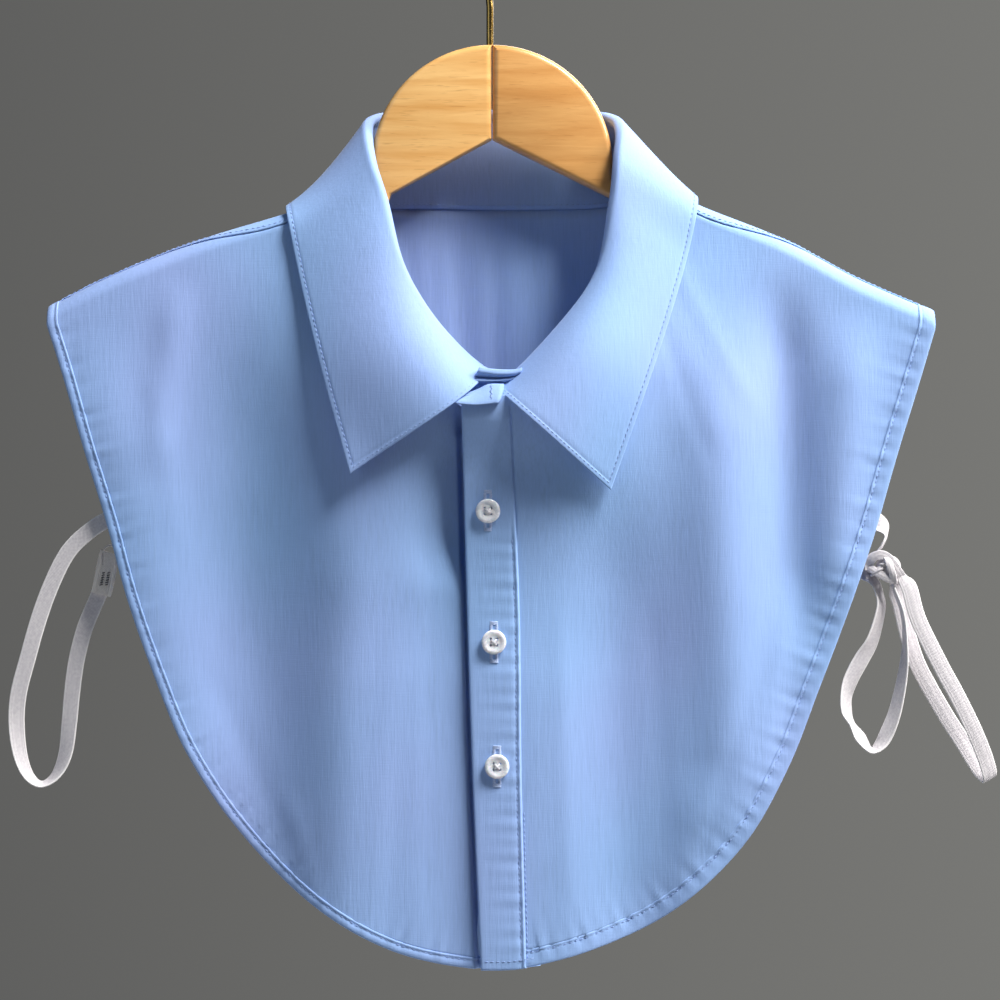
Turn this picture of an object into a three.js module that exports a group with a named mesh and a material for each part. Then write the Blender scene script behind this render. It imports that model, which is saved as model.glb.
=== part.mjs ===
// A detachable shirt collar with its short fronts and back, hanging on a plain wooden hanger.
// Millimetres. X runs to the right as seen from the front, Y runs away from the viewer, Z is up.
// The origin is the inside of the hook's crown, where a rail carries it.

import * as THREE from 'three';
import { mergeVertices } from 'three/addons/utils/BufferGeometryUtils.js';

const { clamp, degToRad, lerp, radToDeg, smoothstep } = THREE.MathUtils;

// Driving sizes
const GAP = 0.3; // between pieces that touch
const PANEL_THICKNESS = 1.1;
const COLLAR_THICKNESS = 1.2; // two layers with an interlining
const HEM_THICKNESS = 2.0; // the cloth turned twice
const HEM_WIDTH_LEFT = 5.0;
const HEM_WIDTH_RIGHT = 7.6;
const HEM_WIDTH_BACK = 6.0;
const SHOULDER_RADIUS = 7.5; // the cloth's fall from the ridge over the hanger's arm
const TAB_RECESS = 7; // how far the fronts sink in just below the collar's tab
const TAB_RECESS_SPREAD = 34;
const ROW_CROWDING = 1.35; // draws the rows below the neck together towards it
const SIDE_DEPTH = 8.5; // how far front and back stand from the hanger's middle at the sides
const NECK_DEPTH_FRONT = 24; // how much farther the front stands out below the throat
const NECK_DEPTH_BACK = 8;
const NECK_SPREAD = 75; // half width of that swell
const FORWARD_SEAM_ANGLE = 48; // degrees in front of the ridge where back and front are joined
const UNDERLAP = 2.8; // how far the left front runs behind the right one at the centre
const PLACKET_PROUD = 1.9; // middle of the placket in front of the middle of the right front
const SEAM_ALLOWANCE = 1.2; // the panels stop this far outside the neck seam
const HEM_GAP = 0.6; // between a panel and its hem, in the plane of the cloth
const SHOULDER_GAP = 1.6; // the same at the shoulder, where the stand stands on the ridge
const TUCK = 5.5; // how much lower the left front's top lies under the outer tab
const BUTTON_RADIUS = 5.6;
const BUTTON_THICKNESS = 2.2;
const HOLE_RADIUS = 0.95;
const HOLE_OFFSET = 1.35; // of a hole's middle from the button's, each way
const TAPE_WIDTH = 7.2;
const TAPE_THICKNESS = 1.0;
const DOUBLED_THICKNESS = 2.4; // the tape stitched back on itself
const HANGER_THICKNESS = 12;
const HANGER_EDGE = 3.0; // rounding of the hanger's edges
const ARCH_RADIUS = 53;
const ARCH_CENTRE = { x: 0.9, z: -121.3 };
const WIRE_RADIUS = 1.55;
const HOOK_RADIUS = 20; // inside the hook

const COLOURS = {
  cloth: 0x9fb8e6,
  tape: 0xece7ea,
  button: 0xe9eef6,
  wood: 0xe6b87a,
  brass: 0xb08d4a,
};

// Turns rows of values into objects with the named columns.
function table(columns, rows) {
  return rows.map((row) => Object.fromEntries(columns.map((name, i) => [name, row[i]])));
}

// The ridge of the shoulders seen from the front, tip to neck to tip.
const RIDGE = table(['x', 'z'], [
  [-196, -184.6],
  [-170, -171.3],
  [-127, -153.8],
  [-90, -142.4],
  [-64, -132.8],
  [64, -126.6],
  [94, -139.6],
  [129, -153.6],
  [161, -170.6],
  [197, -186.2],
]);

// The outline of each front below the shoulder tip, down the armhole and round to the centre.
const OUTLINE_LEFT = table(['x', 'z'], [
  [-194.2, -191.6],
  [-187.4, -213],
  [-177.8, -246],
  [-168.2, -277],
  [-158.9, -311],
  [-147.0, -345],
  [-133.2, -378],
  [-111.5, -411.5],
  [-80.5, -443],
  [-44.0, -464.6],
  [-10.0, -472.8],
  [9.0, -473.2],
]);
const OUTLINE_RIGHT = table(['x', 'z'], [
  [195.2, -193],
  [188.4, -216],
  [178.6, -248],
  [168.2, -284],
  [157.0, -317],
  [144.2, -351],
  [130.8, -385],
  [110.8, -419.5],
  [78.5, -449],
  [45.0, -464.8],
  [12.0, -472.8],
  [-3.2, -473.2],
]);

// Soft folds that stand forward (or back, where negative) of the plain surface: each runs from its
// top to its end, centred between the two x values, and dies away at both ends and sides.
const FOLD_COLUMNS = ['x_top', 'z_top', 'x_end', 'z_end', 'half_width', 'forward'];
const FOLDS = {
  left: table(FOLD_COLUMNS, [
    [-176, -190, -118, -430, 22, 3.0],
    [-112, -165, -98, -520, 25, -4.2],
    [-62, -235, -66, -530, 20, 4.4],
    [-22, -232, -21, -530, 9, -1.8],
    [-136, -168, -147, -262, 8, 1.2],
    [-19, -185, -15, -310, 18, -7],
  ]),
  right: table(FOLD_COLUMNS, [
    [52, -245, 62, -500, 19, -3.8],
    [98, -175, 108, -440, 18, 5.2],
    [127, -165, 136, -340, 11, -4.2],
    [160, -182, 148, -330, 13, 3.2],
    [96, -380, 88, -500, 14, 2.4],
  ]),
  back: table(FOLD_COLUMNS, [
    [-30, -130, -34, -420, 8, -1.6],
    [-12, -130, -10, -420, 8, 1.6],
    [14, -130, 18, -420, 10, -1.4],
    [-95, -150, -105, -520, 26, 2.6],
    [92, -150, 104, -520, 26, 2.6],
  ]),
};

// The placket's two edges.
const PLACKET = table(['z', 'left', 'right'], [
  [-473.4, -3.9, 15.6],
  [-391, -7.5, 13.6],
  [-312, -10.1, 12.6],
  [-229, -12.3, 8.8],
]);
const BUTTONS = table(['x', 'z'], [
  [-0.9, -272.6],
  [1.8, -330.2],
  [3.1, -384.4],
]);

// Sections of the collar from its left end to its right end. `on` is the cloth that the seam and
// the edge lie on: a front, the back, or over the shoulder. A place is a height, or over the shoulder
// the degrees in front of its ridge. `roll` is where the collar turns down, `lift` is how far the
// edge stands off the cloth, and `arch_near` and `arch_far` bow the leaf outwards. `tuck` sets the
// seam of the inner tab behind the cloth, clear of the outer tab in front of it.
const COLLAR_COLUMNS = [
  'name', 'on', 'seam_x', 'seam_at', 'tuck', 'roll_x', 'roll_y', 'roll_z', 'edge_x', 'edge_at', 'lift',
  'arch_near', 'arch_far',
];
const COLLAR = table(COLLAR_COLUMNS, [
  ['inner tab', 'left', 13.0, -227.0, 5.8, 14.0, -9.8, -212.0, -60.7, -256.9, 8, 38, 6],
  ['left point', 'left', -1.5, -227.6, 5.4, -1.8, -11.2, -211.4, -60.7, -256.9, 8, 38, 6],
  ['left front', 'left', -22, -214.5, 0, -21.5, -18, -193.2, -70.4, -222.0, 7, 20, 8],
  ['left breast', 'left', -45, -190, 0, -37.0, -19, -167.0, -78.9, -189.0, 5, 8, 4],
  ['left throat', 'left', -58.5, -163, 0, -45.0, -15.5, -137.0, -85.4, -160.5, 3.5, 4, 2],
  ['left collarbone', 'over', -64.3, 90, 0, -50.2, -12.5, -120.5, -88.4, 70, 3, 1, -2],
  ['left shoulder', 'over', -64.3, 0, 0, -52.6, -3.5, -106.0, -89.6, 0, 3, 1, -3],
  ['left behind', 'over', -64.3, -90, 0, -50.6, 7, -99.2, -86, -72, 3.5, 1, 0],
  ['left nape', 'back', -45, -139.2, 0, -38.0, 17, -95.8, -60, -150.5, 5, 4, 2],
  ['centre back', 'back', 3, -139.5, 0, 2, 22, -95.0, 3, -148.0, 6, 5, 2],
  ['right nape', 'back', 48, -139.0, 0, 40.0, 17.5, -95.8, 62, -149.0, 5, 4, 3],
  ['right behind', 'over', 65.5, -90, 0, 52.5, 7, -98.6, 86.5, -72, 3.5, 2, 2],
  ['right shoulder', 'over', 65.5, 0, 0, 56.0, -3.5, -104.6, 90.8, 0, 3.2, 2, 0],
  ['right collarbone', 'over', 65.5, 90, 0, 54.6, -12.5, -118.5, 90.6, 70, 3.2, 2, 2],
  ['right throat', 'right', 61, -161, 0, 52.6, -16.5, -138.0, 86.2, -162.0, 4, 4, 3],
  ['right breast', 'right', 48.5, -190, 0, 46.2, -20, -168.5, 78.0, -190.0, 5, 10, 4],
  ['right front', 'right', 25, -216, 0, 29.0, -21, -195.0, 66.6, -224.0, 5, 22, 8],
  ['right point', 'right', 3, -225.4, 0, 3.1, -20.5, -220.6, 52.6, -263.8, 5, 34, 8],
  ['outer tab', 'right', -15, -223.2, 0, -13.5, -22, -218.4, 52.6, -263.8, 5, 34, 8],
]);

// Tapes: `width_x` and `width_y` point across the tape, in and out of the picture plane.
const TAPE_COLUMNS = ['x', 'y', 'z', 'width_x', 'width_y', 'width_z'];
const TAPES = {
  strap_left: table(TAPE_COLUMNS, [
    [-161.5, -5.2, -275.8, -0.1, 0.1, 1],
    [-168.5, -5.2, -277.2, -0.25, 0.1, 0.95],
    [-176.9, -5.1, -282.7, -0.55, 0.1, 0.83],
    [-185.3, -5.0, -291.3, -0.75, 0.1, 0.66],
    [-192.1, -4.8, -304.4, -0.88, 0.05, 0.45],
    [-197.9, -4.5, -319.9, -0.94, 0, 0.33],
    [-203.1, -4.0, -338.0, -0.96, 0, 0.27],
    [-207.0, -3.2, -352.9, -0.97, -0.1, 0.2],
    [-208.1, -2.2, -366.0, -0.95, -0.3, 0],
    [-206.6, -1.4, -379.8, -0.75, -0.6, -0.15],
    [-203.0, -0.9, -389.2, -0.45, -0.85, -0.3],
    [-197.4, -0.4, -393.2, 0.05, -0.95, -0.3],
    [-191.2, 0.3, -389.4, 0.55, -0.8, -0.2],
    [-187.0, 1.2, -380.1, 0.85, -0.5, -0.15],
    [-185.3, 2.2, -366.0, 0.96, -0.25, -0.1],
    [-184.1, 3.1, -352.3, 1, -0.1, -0.1],
    [-182.2, 3.8, -338.5, 1, -0.05, -0.15],
    [-178.6, 4.3, -324.5, 0.97, 0, -0.2],
    [-173.3, 4.6, -311.7, 0.92, 0, -0.35],
  ]),
  strap_left_end: table(TAPE_COLUMNS, [
    [-172.8, 4.6, -310.6, 0.95, 0, -0.35],
    [-169.6, 4.6, -301.0, 0.95, 0, -0.3],
    [-166.4, 4.4, -289.8, 0.95, 0, -0.3],
  ]),
  strap_right_tab: table(TAPE_COLUMNS, [
    [162.0, 3.4, -272.4, 0.5, 0, 0.86],
    [168.6, 3.2, -276.2, 0.5, 0, 0.86],
    [172.4, 2.9, -279.4, 0.45, 0.3, 0.85],
    [174.2, 2.2, -284.0, 0.2, 0.95, 0.1],
    [172.6, 1.2, -288.2, 0.1, 0.98, -0.1],
    [170.0, 0.6, -291.2, 0.1, 0.98, -0.1],
  ]),
  strap_right_loop: table(TAPE_COLUMNS, [
    [160.8, 3.6, -298.9, 0.3, 0.4, 0.85],
    [165.6, 3.5, -300.6, 0.35, 0.47, 0.81],
    [169.2, 3.1, -303.8, 0.48, 0.8, 0.36],
    [171.4, 2.6, -308.8, 0.5, 0.85, 0.13],
    [172.2, 2.2, -316.2, 0.6, 0.8, 0],
    [168.4, 1.4, -330.0, 0.7, 0.6, -0.4],
    [163.4, 1.0, -338.6, 0.84, 0.24, -0.48],
    [159.0, 0.7, -346.9, 0.86, 0.34, -0.38],
    [156.8, 0.5, -354.2, 0.76, 0.64, -0.12],
    [156.9, 0.3, -361.0, 0.67, 0.73, 0.1],
    [159.3, 0.0, -366.8, 0.32, 0.93, 0.19],
    [162.9, -0.3, -372.6, 0.54, 0.74, 0.4],
    [167.4, -0.9, -378.2, 0.1, 0.95, 0.28],
    [171.2, -1.1, -376.2, -0.36, 0.8, 0.48],
    [174.3, -1.2, -371.1, -0.7, 0.59, 0.4],
    [178.1, -1.2, -361.0, -0.66, 0.71, 0.23],
    [181.6, -1.0, -344.3, -0.48, 0.87, 0.09],
    [182.6, -0.8, -330.0, -0.18, 0.97, 0.02],
    [181.6, -0.6, -318.6, -0.1, 0.99, -0.04],
    [178.0, -0.3, -309.4, -0.1, 0.99, -0.05],
  ]),
  strap_right_long: table(TAPE_COLUMNS, [
    [184.2, -3.4, -307.2, 0.93, 0.1, 0.35],
    [188.2, -3.8, -321.0, 0.9, 0.1, 0.42],
    [198.0, -3.8, -341.0, 0.87, 0.1, 0.48],
    [204.0, -3.8, -352.0, 0.87, 0.1, 0.48],
    [209.2, -3.8, -362.2, 0.88, 0.1, 0.46],
    [213.4, -3.7, -371.2, 0.9, 0.1, 0.42],
    [217.0, -3.2, -380.0, 0.9, 0.15, 0.4],
    [219.6, -1.8, -388.2, 0.85, 0.3, 0.42],
    [219.4, 0.4, -390.8, 0.8, 0.4, 0.42],
    [215.8, 2.6, -387.0, 0.82, 0.25, 0.48],
    [208.8, 4.2, -375.4, 0.84, 0.1, 0.5],
    [201.4, 4.8, -363.8, 0.85, 0.05, 0.5],
    [194.0, 5.1, -351.0, 0.87, 0.05, 0.48],
    [188.4, 5.2, -340.0, 0.9, 0.05, 0.42],
    [184.4, 5.2, -328.0, 0.95, 0.1, 0.3],
    [181.4, 5.0, -316.0, 0.97, 0.1, 0.22],
    [178.8, 4.7, -307.0, 0.97, 0.1, 0.25],
  ]),
};

// The hanger's outline below the ridge: under side and end of each arm, from the tip inwards.
const ARM_LEFT = table(['x', 'z'], [
  [-173, -177],
  [-176.5, -185],
  [-170, -192.5],
  [-140, -179.5],
  [-100, -165],
  [-66, -153.5],
  [-48.5, -146.5],
  [-43.5, -133.8],
]);
const ARM_RIGHT = table(['x', 'z'], [
  [173, -179.5],
  [176.5, -187.5],
  [170, -194.5],
  [140, -180],
  [100, -163],
  [70, -149],
  [60, -142],
  [54, -136.0],
]);
const APEX_Z = -109.8; // top of the hollow under the hanger's middle

const KNOT = { x: 175.2, y: 0.2, z: -297.6, width: 10, depth: 9.5, height: 11 };

const vector = (x, y, z) => new THREE.Vector3(x, y, z);
const point = (row) => vector(row.x, row.y ?? 0, row.z);

// One column of a table read smoothly at a place in another, rising column.
function read(rows, from, to, at) {
  const last = rows.length - 1;
  const next = rows.findIndex((row) => row[from] > at);
  const i = clamp(next < 0 ? last - 1 : next - 1, 0, last - 1);
  const slope = (k) => {
    const [a, b] = [rows[Math.max(k - 1, 0)], rows[Math.min(k + 1, last)]];
    return (b[to] - a[to]) / (b[from] - a[from]);
  };
  const span = rows[i + 1][from] - rows[i][from];
  const t = clamp((at - rows[i][from]) / span, 0, 1);
  const rise = rows[i + 1][to] - rows[i][to];
  const [start, end] = [slope(i) * span, slope(i + 1) * span];
  return rows[i][to] + t * (start + t * (3 * rise - 2 * start - end + t * (start + end - 2 * rise)));
}

// Every numeric column of a table, smooth at a place counted in rows.
function between(rows, place) {
  const i = clamp(Math.floor(place), 0, rows.length - 2);
  const t = place - i;
  const [a, b, c, d] = [-1, 0, 1, 2].map((k) => rows[clamp(i + k, 0, rows.length - 1)]);
  const mix = (p, q, r, s) =>
    q + 0.5 * t * (r - p + t * (2 * p - 5 * q + 4 * r - s + t * (3 * (q - r) + s - p)));
  const numeric = Object.keys(b).filter((key) => typeof b[key] === 'number');
  return Object.fromEntries(numeric.map((key) => [key, mix(a[key], b[key], c[key], d[key])]));
}

const ridge = (x) => read(RIDGE, 'x', 'z', x);

// How far the soft folds push a place outwards.
function folds(side, x, z) {
  return FOLDS[side].reduce((sum, fold) => {
    const along = (fold.z_top - z) / (fold.z_top - fold.z_end);
    const ends = smoothstep(along, 0, 0.25) * (1 - smoothstep(along, 0.75, 1));
    const across = (x - lerp(fold.x_top, fold.x_end, along)) / fold.half_width;
    return sum + fold.forward * ends * Math.exp(-across * across);
  }, 0);
}

// Y of the middle of a panel's cloth below the shoulder's round.
function depth(side, x, z) {
  const swell = Math.exp(-((x / NECK_SPREAD) ** 2));
  if (side === 'back') {
    const hang = lerp(1, 0.3, smoothstep(-z, 140, 470));
    return SIDE_DEPTH + NECK_DEPTH_BACK * swell * hang + folds(side, x, z);
  }
  const hang = smoothstep(-z, 133, 215) * lerp(1, 0.3, smoothstep(-z, 212, 340));
  const under = side === 'left' ? UNDERLAP * smoothstep(x, -24, -8) : 0;
  const below = smoothstep(-z, 222, 256) * (1 - smoothstep(-z, 256, 350));
  const recess = TAB_RECESS * Math.exp(-((x / TAB_RECESS_SPREAD) ** 2)) * below;
  return under + recess - SIDE_DEPTH - NECK_DEPTH_FRONT * swell * hang - folds(side, x, z);
}

// A place on the shoulder's round, in degrees in front of the ridge, lifted off the cloth.
function overShoulder(x, degrees, lift = 0) {
  const front = x < 0 ? 'left' : 'right';
  const z = ridge(x) - SHOULDER_RADIUS;
  const reach = Math.abs(depth(degrees > 0 ? front : 'back', x, z));
  const angle = degToRad(degrees);
  return vector(x, -Math.sin(angle) * (reach + lift), z + Math.cos(angle) * (SHOULDER_RADIUS + lift));
}

// A place on a panel, or on the shoulder's round, lifted off the cloth.
function onCloth(side, x, at, lift = 0) {
  if (side === 'over') return overShoulder(x, at, lift);
  const away = side === 'back' ? lift : -lift;
  return vector(x, depth(side, x, at) + away, at);
}

const count = (n) => Array.from({ length: n }, (_, i) => i);
const steps = (n) => count(n + 1).map((i) => i / n);

// The triangles of a grid of points.
function grid(rows) {
  const triangles = [];
  for (let i = 0; i + 1 < rows.length; i += 1) {
    for (let j = 0; j + 1 < rows[i].length; j += 1) {
      const [a, b, c, d] = [rows[i][j], rows[i][j + 1], rows[i + 1][j + 1], rows[i + 1][j]];
      triangles.push([a, b, c], [a, c, d]);
    }
  }
  return triangles;
}

// Merges the triangles' equal corners and drops the triangles that have none left.
function weld(triangles) {
  const loose = new THREE.BufferGeometry().setFromPoints(triangles.flat());
  const welded = mergeVertices(loose, 1e-3);
  const index = welded.index.array;
  const kept = [];
  for (let i = 0; i < index.length; i += 3) {
    const [a, b, c] = index.slice(i, i + 3);
    if (a !== b && b !== c && c !== a) kept.push(a, b, c);
  }
  welded.setIndex(kept);
  return welded;
}

// Gives a surface of triangles a thickness, half to each side, and walls round its open edges.
function thicken(triangles, thickness) {
  const middle = weld(triangles);
  middle.computeVertexNormals();
  const { position, normal } = middle.attributes;
  const total = position.count;
  const face = (sign) =>
    count(total).map((i) => {
      const out = new THREE.Vector3().fromBufferAttribute(normal, i).multiplyScalar((sign * thickness) / 2);
      return new THREE.Vector3().fromBufferAttribute(position, i).add(out);
    });
  const corners = [...face(1), ...face(-1)];
  const index = Array.from(middle.index.array);
  const edges = new Map();
  const faces = [];
  for (let i = 0; i < index.length; i += 3) {
    const [a, b, c] = index.slice(i, i + 3);
    faces.push([a, b, c], [c + total, b + total, a + total]);
    for (const [p, q] of [[a, b], [b, c], [c, a]]) {
      if (edges.has(`${q} ${p}`)) edges.delete(`${q} ${p}`);
      else edges.set(`${p} ${q}`, [p, q]);
    }
  }
  for (const [p, q] of edges.values()) faces.push([q, p, p + total], [q, p + total, q + total]);
  const geometry = new THREE.BufferGeometry().setFromPoints(corners);
  geometry.setIndex(faces.flat());
  return geometry;
}

// A Coons patch in x and z between four edges, each a function from 0 to 1.
function patch(top, bottom, left, right, across, down) {
  return down.map((v) =>
    across.map((u) => {
      const [t, b, l, r] = [top(u), bottom(u), left(v), right(v)];
      const cross = (key, end) => lerp(top(end)[key], bottom(end)[key], v);
      const corners = (key) => lerp(cross(key, 0), cross(key, 1), u);
      const blend = (key) => lerp(t[key], b[key], v) + lerp(l[key], r[key], u) - corners(key);
      return { x: blend('x'), z: blend('z') };
    }),
  );
}

// The collar's table with every place worked out in full.
const SECTIONS = COLLAR.map((row) => {
  const seam = onCloth(row.on, row.seam_x, row.seam_at, -row.tuck);
  const edge = onCloth(row.on, row.edge_x, row.edge_at, row.lift);
  return {
    seam_x: seam.x, seam_y: seam.y, seam_z: seam.z,
    roll_x: row.roll_x, roll_y: row.roll_y, roll_z: row.roll_z,
    edge_x: edge.x, edge_y: edge.y, edge_z: edge.z,
    near: row.arch_near, far: row.arch_far,
  };
});
const named = (name) => COLLAR.findIndex((row) => row.name === name);
const trackPoint = (section, key) => vector(section[`${key}_x`], section[`${key}_y`], section[`${key}_z`]);
const seamAt = (place) => trackPoint(between(SECTIONS, place), 'seam');

// The panels' neck edge: outside the neck seam by its allowance. `turn` is 1 in front and -1 behind.
function neckEdge(place, turn = 1) {
  const step = 0.05;
  const along = seamAt(place + step).sub(seamAt(place - step));
  const across = vector(-along.z, 0, along.x).normalize().multiplyScalar(turn * SEAM_ALLOWANCE);
  const seam = seamAt(place);
  return { x: seam.x + across.x, z: seam.z + across.z };
}

// An outline as a curve, with places set in from it by a width. The places at its tips keep to the
// shoulder's round, so that hem and panel meet it level.
function outline(rows, turn, tips) {
  const curve = new THREE.CatmullRomCurve3(rows.map(point), false, 'centripetal');
  return (t, inset) => {
    const at = curve.getPointAt(t);
    const along = curve.getTangentAt(t);
    const x = at.x - turn * along.z * inset;
    const z = at.z + turn * along.x * inset;
    return { x, z: tips.includes(t) ? ridge(x) - SHOULDER_RADIUS : z };
  };
}

// Rows of the shoulder's round over the top row of a panel, down to the given angle.
function cap(top, angles) {
  return angles.map((degrees) => top.map(({ x }) => overShoulder(x, degrees)));
}

const SEAM_CLEARANCE = 6; // degrees between the two cloths at the forward seam
const CAP_FRONT = [FORWARD_SEAM_ANGLE + SEAM_CLEARANCE, 70, 90];
const CAP_BACK = [-90, -62, -32, 0, 26, FORWARD_SEAM_ANGLE];
const CORNER = 0.64; // share of a front's outline that its side takes
const BACK_NARROWER = 0.994; // the back against the fronts
const BACK_LONGER = 1.0057;
const ROWS_NECK = 6;
const ROWS_BELOW = 11;
const COLUMNS_FRONT = 15;

// A front: its panel and its hem share the same places along the outline.
function front(side, rows, turn, hemWidth, neckFrom, neckTo) {
  const edge = outline(rows, turn, [0]);
  const total = ROWS_NECK + ROWS_BELOW;
  const inset = hemWidth + HEM_GAP;
  const end = edge(1, inset);
  const shoulderX = seamAt(neckFrom).x - turn * SHOULDER_GAP;
  const top = (u) => {
    const x = lerp(edge(0, inset).x, shoulderX, u);
    return { x, z: ridge(x) - SHOULDER_RADIUS };
  };
  const neck = (at) => {
    const { x, z } = neckEdge(at);
    return { x, z: side === 'left' ? z - TUCK * smoothstep(x, -27, -15) : z };
  };
  const right = (v) => {
    const share = (v * total) / ROWS_NECK;
    if (share <= 1) {
      return share === 0 ? top(1) : neck(lerp(neckFrom, neckTo, share));
    }
    const [from, to] = [neck(neckTo), end];
    const down = ((v * total - ROWS_NECK) / ROWS_BELOW) ** ROW_CROWDING;
    return { x: lerp(from.x, to.x, down), z: lerp(from.z, to.z, down) };
  };
  const left = (v) => edge(v * CORNER, inset);
  const bottom = (u) => edge(lerp(CORNER, 1, u), inset);
  const flat = patch(top, bottom, left, right, steps(COLUMNS_FRONT), steps(total));
  const place = (row) => row.map(({ x, z }) => onCloth(side, x, z));
  const panel = [...cap(flat[0], CAP_FRONT), ...flat.slice(1).map(place)];

  const alongs = [
    ...steps(total).map((v) => v * CORNER),
    ...steps(COLUMNS_FRONT).slice(1).map((u) => lerp(CORNER, 1, u)),
  ];
  const strips = alongs.map((t) => [0, 0.5, 1].map((share) => edge(t, share * hemWidth)));
  const hem = [...cap(strips[0], CAP_FRONT), ...strips.slice(1).map(place)];
  return { panel: grid(panel), hem: grid(hem) };
}

// The back: one outline from tip to tip, a little longer than the fronts.
function back() {
  const tip = OUTLINE_LEFT[0];
  const middle = { x: 2, z: -473.4 };
  const lower = (row) => ({ x: row.x * BACK_NARROWER, z: tip.z + (row.z - tip.z) * BACK_LONGER });
  const left = OUTLINE_LEFT.slice(0, -2);
  const right = OUTLINE_RIGHT.slice(0, -2).reverse();
  const edge = outline([...left, middle, ...right].map(lower), 1, [0, 1]);
  const inset = HEM_WIDTH_BACK + HEM_GAP;
  const corner = 0.33;
  const sides = 14;
  const shoulder = 7;
  const neck = 9;
  const [neckFrom, neckTo] = [0.34, 0.66];
  const places = [named('left behind'), named('right behind')];
  const across = [
    ...steps(shoulder).map((s) => s * neckFrom),
    ...steps(neck).slice(1).map((s) => lerp(neckFrom, neckTo, s)),
    ...steps(shoulder).slice(1).map((s) => lerp(neckTo, 1, s)),
  ];
  const top = (u) => {
    const share = (u - neckFrom) / (neckTo - neckFrom);
    if (share > 0 && share < 1) return neckEdge(lerp(places[0], places[1], share), -1);
    const end = u < 0.5 ? 0 : 1;
    const inner = seamAt(places[end]).x + (end ? 1 : -1) * SHOULDER_GAP;
    const x = lerp(edge(end, inset).x, inner, Math.min(u, 1 - u) / neckFrom);
    return { x, z: ridge(x) - SHOULDER_RADIUS };
  };
  const bottom = (u) => edge(lerp(corner, 1 - corner, u), inset);
  const leftSide = (v) => edge(v * corner, inset);
  const rightSide = (v) => edge(1 - v * corner, inset);
  const down = steps(sides);
  const flat = patch(top, bottom, leftSide, rightSide, across, down);
  const place = (row) => row.map(({ x, z }) => onCloth('back', x, z));
  const body = flat.map(place).reverse();
  const round = (from, to) => grid(cap(flat[0].slice(from, to), CAP_BACK));
  const panel = [...grid(body), ...round(0, shoulder + 1), ...round(shoulder + neck, across.length)];

  const alongs = [
    ...down.map((v) => v * corner),
    ...across.slice(1, -1).map((u) => lerp(corner, 1 - corner, u)),
    ...down.map((v) => 1 - v * corner).reverse(),
  ];
  const strips = alongs.map((t) => [1, 0.5, 0].map((share) => edge(t, share * HEM_WIDTH_BACK)));
  const caps = (strip) => cap(strip, CAP_BACK).reverse();
  const hem = [
    ...caps(strips[0]),
    ...strips.slice(1, -1).map(place),
    ...caps(strips[strips.length - 1]).reverse(),
  ];
  return { panel, hem: grid(hem) };
}

const STEPS_EACH = 2; // between two sections of the collar
const ROLL_CLEARANCE = 2.6; // the stand stops this far under the roll
const LIP = { side: 1.7, down: 0.9 }; // inner end of the leaf, turned over the top of the stand
const TURN = { side: 2.4, down: 0.8 }; // the same on the outside

// The stand: a band between the neck seam and the roll, one end behind the other.
function stand() {
  const last = SECTIONS.length - 1;
  const rows = steps(last * STEPS_EACH).map((s) => {
    const section = between(SECTIONS, s * last);
    const [seam, roll] = [trackPoint(section, 'seam'), trackPoint(section, 'roll')];
    const height = seam.distanceTo(roll);
    const from = (2 * GAP) / height;
    const to = 1 - ROLL_CLEARANCE / height;
    return steps(3).map((t) => seam.clone().lerp(roll, lerp(from, to, t)));
  });
  return grid(rows);
}

// The leaf: over the stand's top edge, then out and down to its edge, bowed by the two arches.
function fall() {
  const [first, last] = [named('left point'), named('right point')];
  const rows = steps((last - first) * STEPS_EACH).map((s) => {
    const place = lerp(first, last, s);
    const section = between(SECTIONS, place);
    const [roll, edge] = [trackPoint(section, 'roll'), trackPoint(section, 'edge')];
    const ahead = trackPoint(between(SECTIONS, Math.min(place + 0.2, last)), 'roll');
    const behind = trackPoint(between(SECTIONS, Math.max(place - 0.2, first)), 'roll');
    const along = ahead.sub(behind);
    const out = along.clone().cross(edge.clone().sub(roll)).normalize();
    const down = trackPoint(section, 'seam').sub(roll).normalize();
    const side = along.clone().cross(down).normalize();
    const turn = roll.clone().addScaledVector(side, TURN.side).addScaledVector(down, TURN.down);
    const near = roll.clone().lerp(edge, 0.22).addScaledVector(out, section.near);
    const far = roll.clone().lerp(edge, 0.66).addScaledVector(out, section.far);
    const leaf = new THREE.CubicBezierCurve3(turn, near, far, edge);
    const lip = roll.clone().addScaledVector(side, -LIP.side).addScaledVector(down, LIP.down);
    return [lip, roll, ...[0, 0.12, 0.26, 0.42, 0.6, 0.8, 1].map((t) => leaf.getPoint(t))];
  });
  return grid(rows);
}

// The placket: a strip in front of the right front.
function placket() {
  const [bottom, top] = [PLACKET[0].z, PLACKET[PLACKET.length - 1].z];
  const rows = steps(ROWS_BELOW).map((s) => {
    const z = lerp(top, bottom, s ** ROW_CROWDING);
    const [left, right] = ['left', 'right'].map((key) => read(PLACKET, 'z', key, z));
    return steps(3).map((t) => onCloth('right', lerp(left, right, t), z, PLACKET_PROUD));
  });
  return grid(rows);
}

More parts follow.
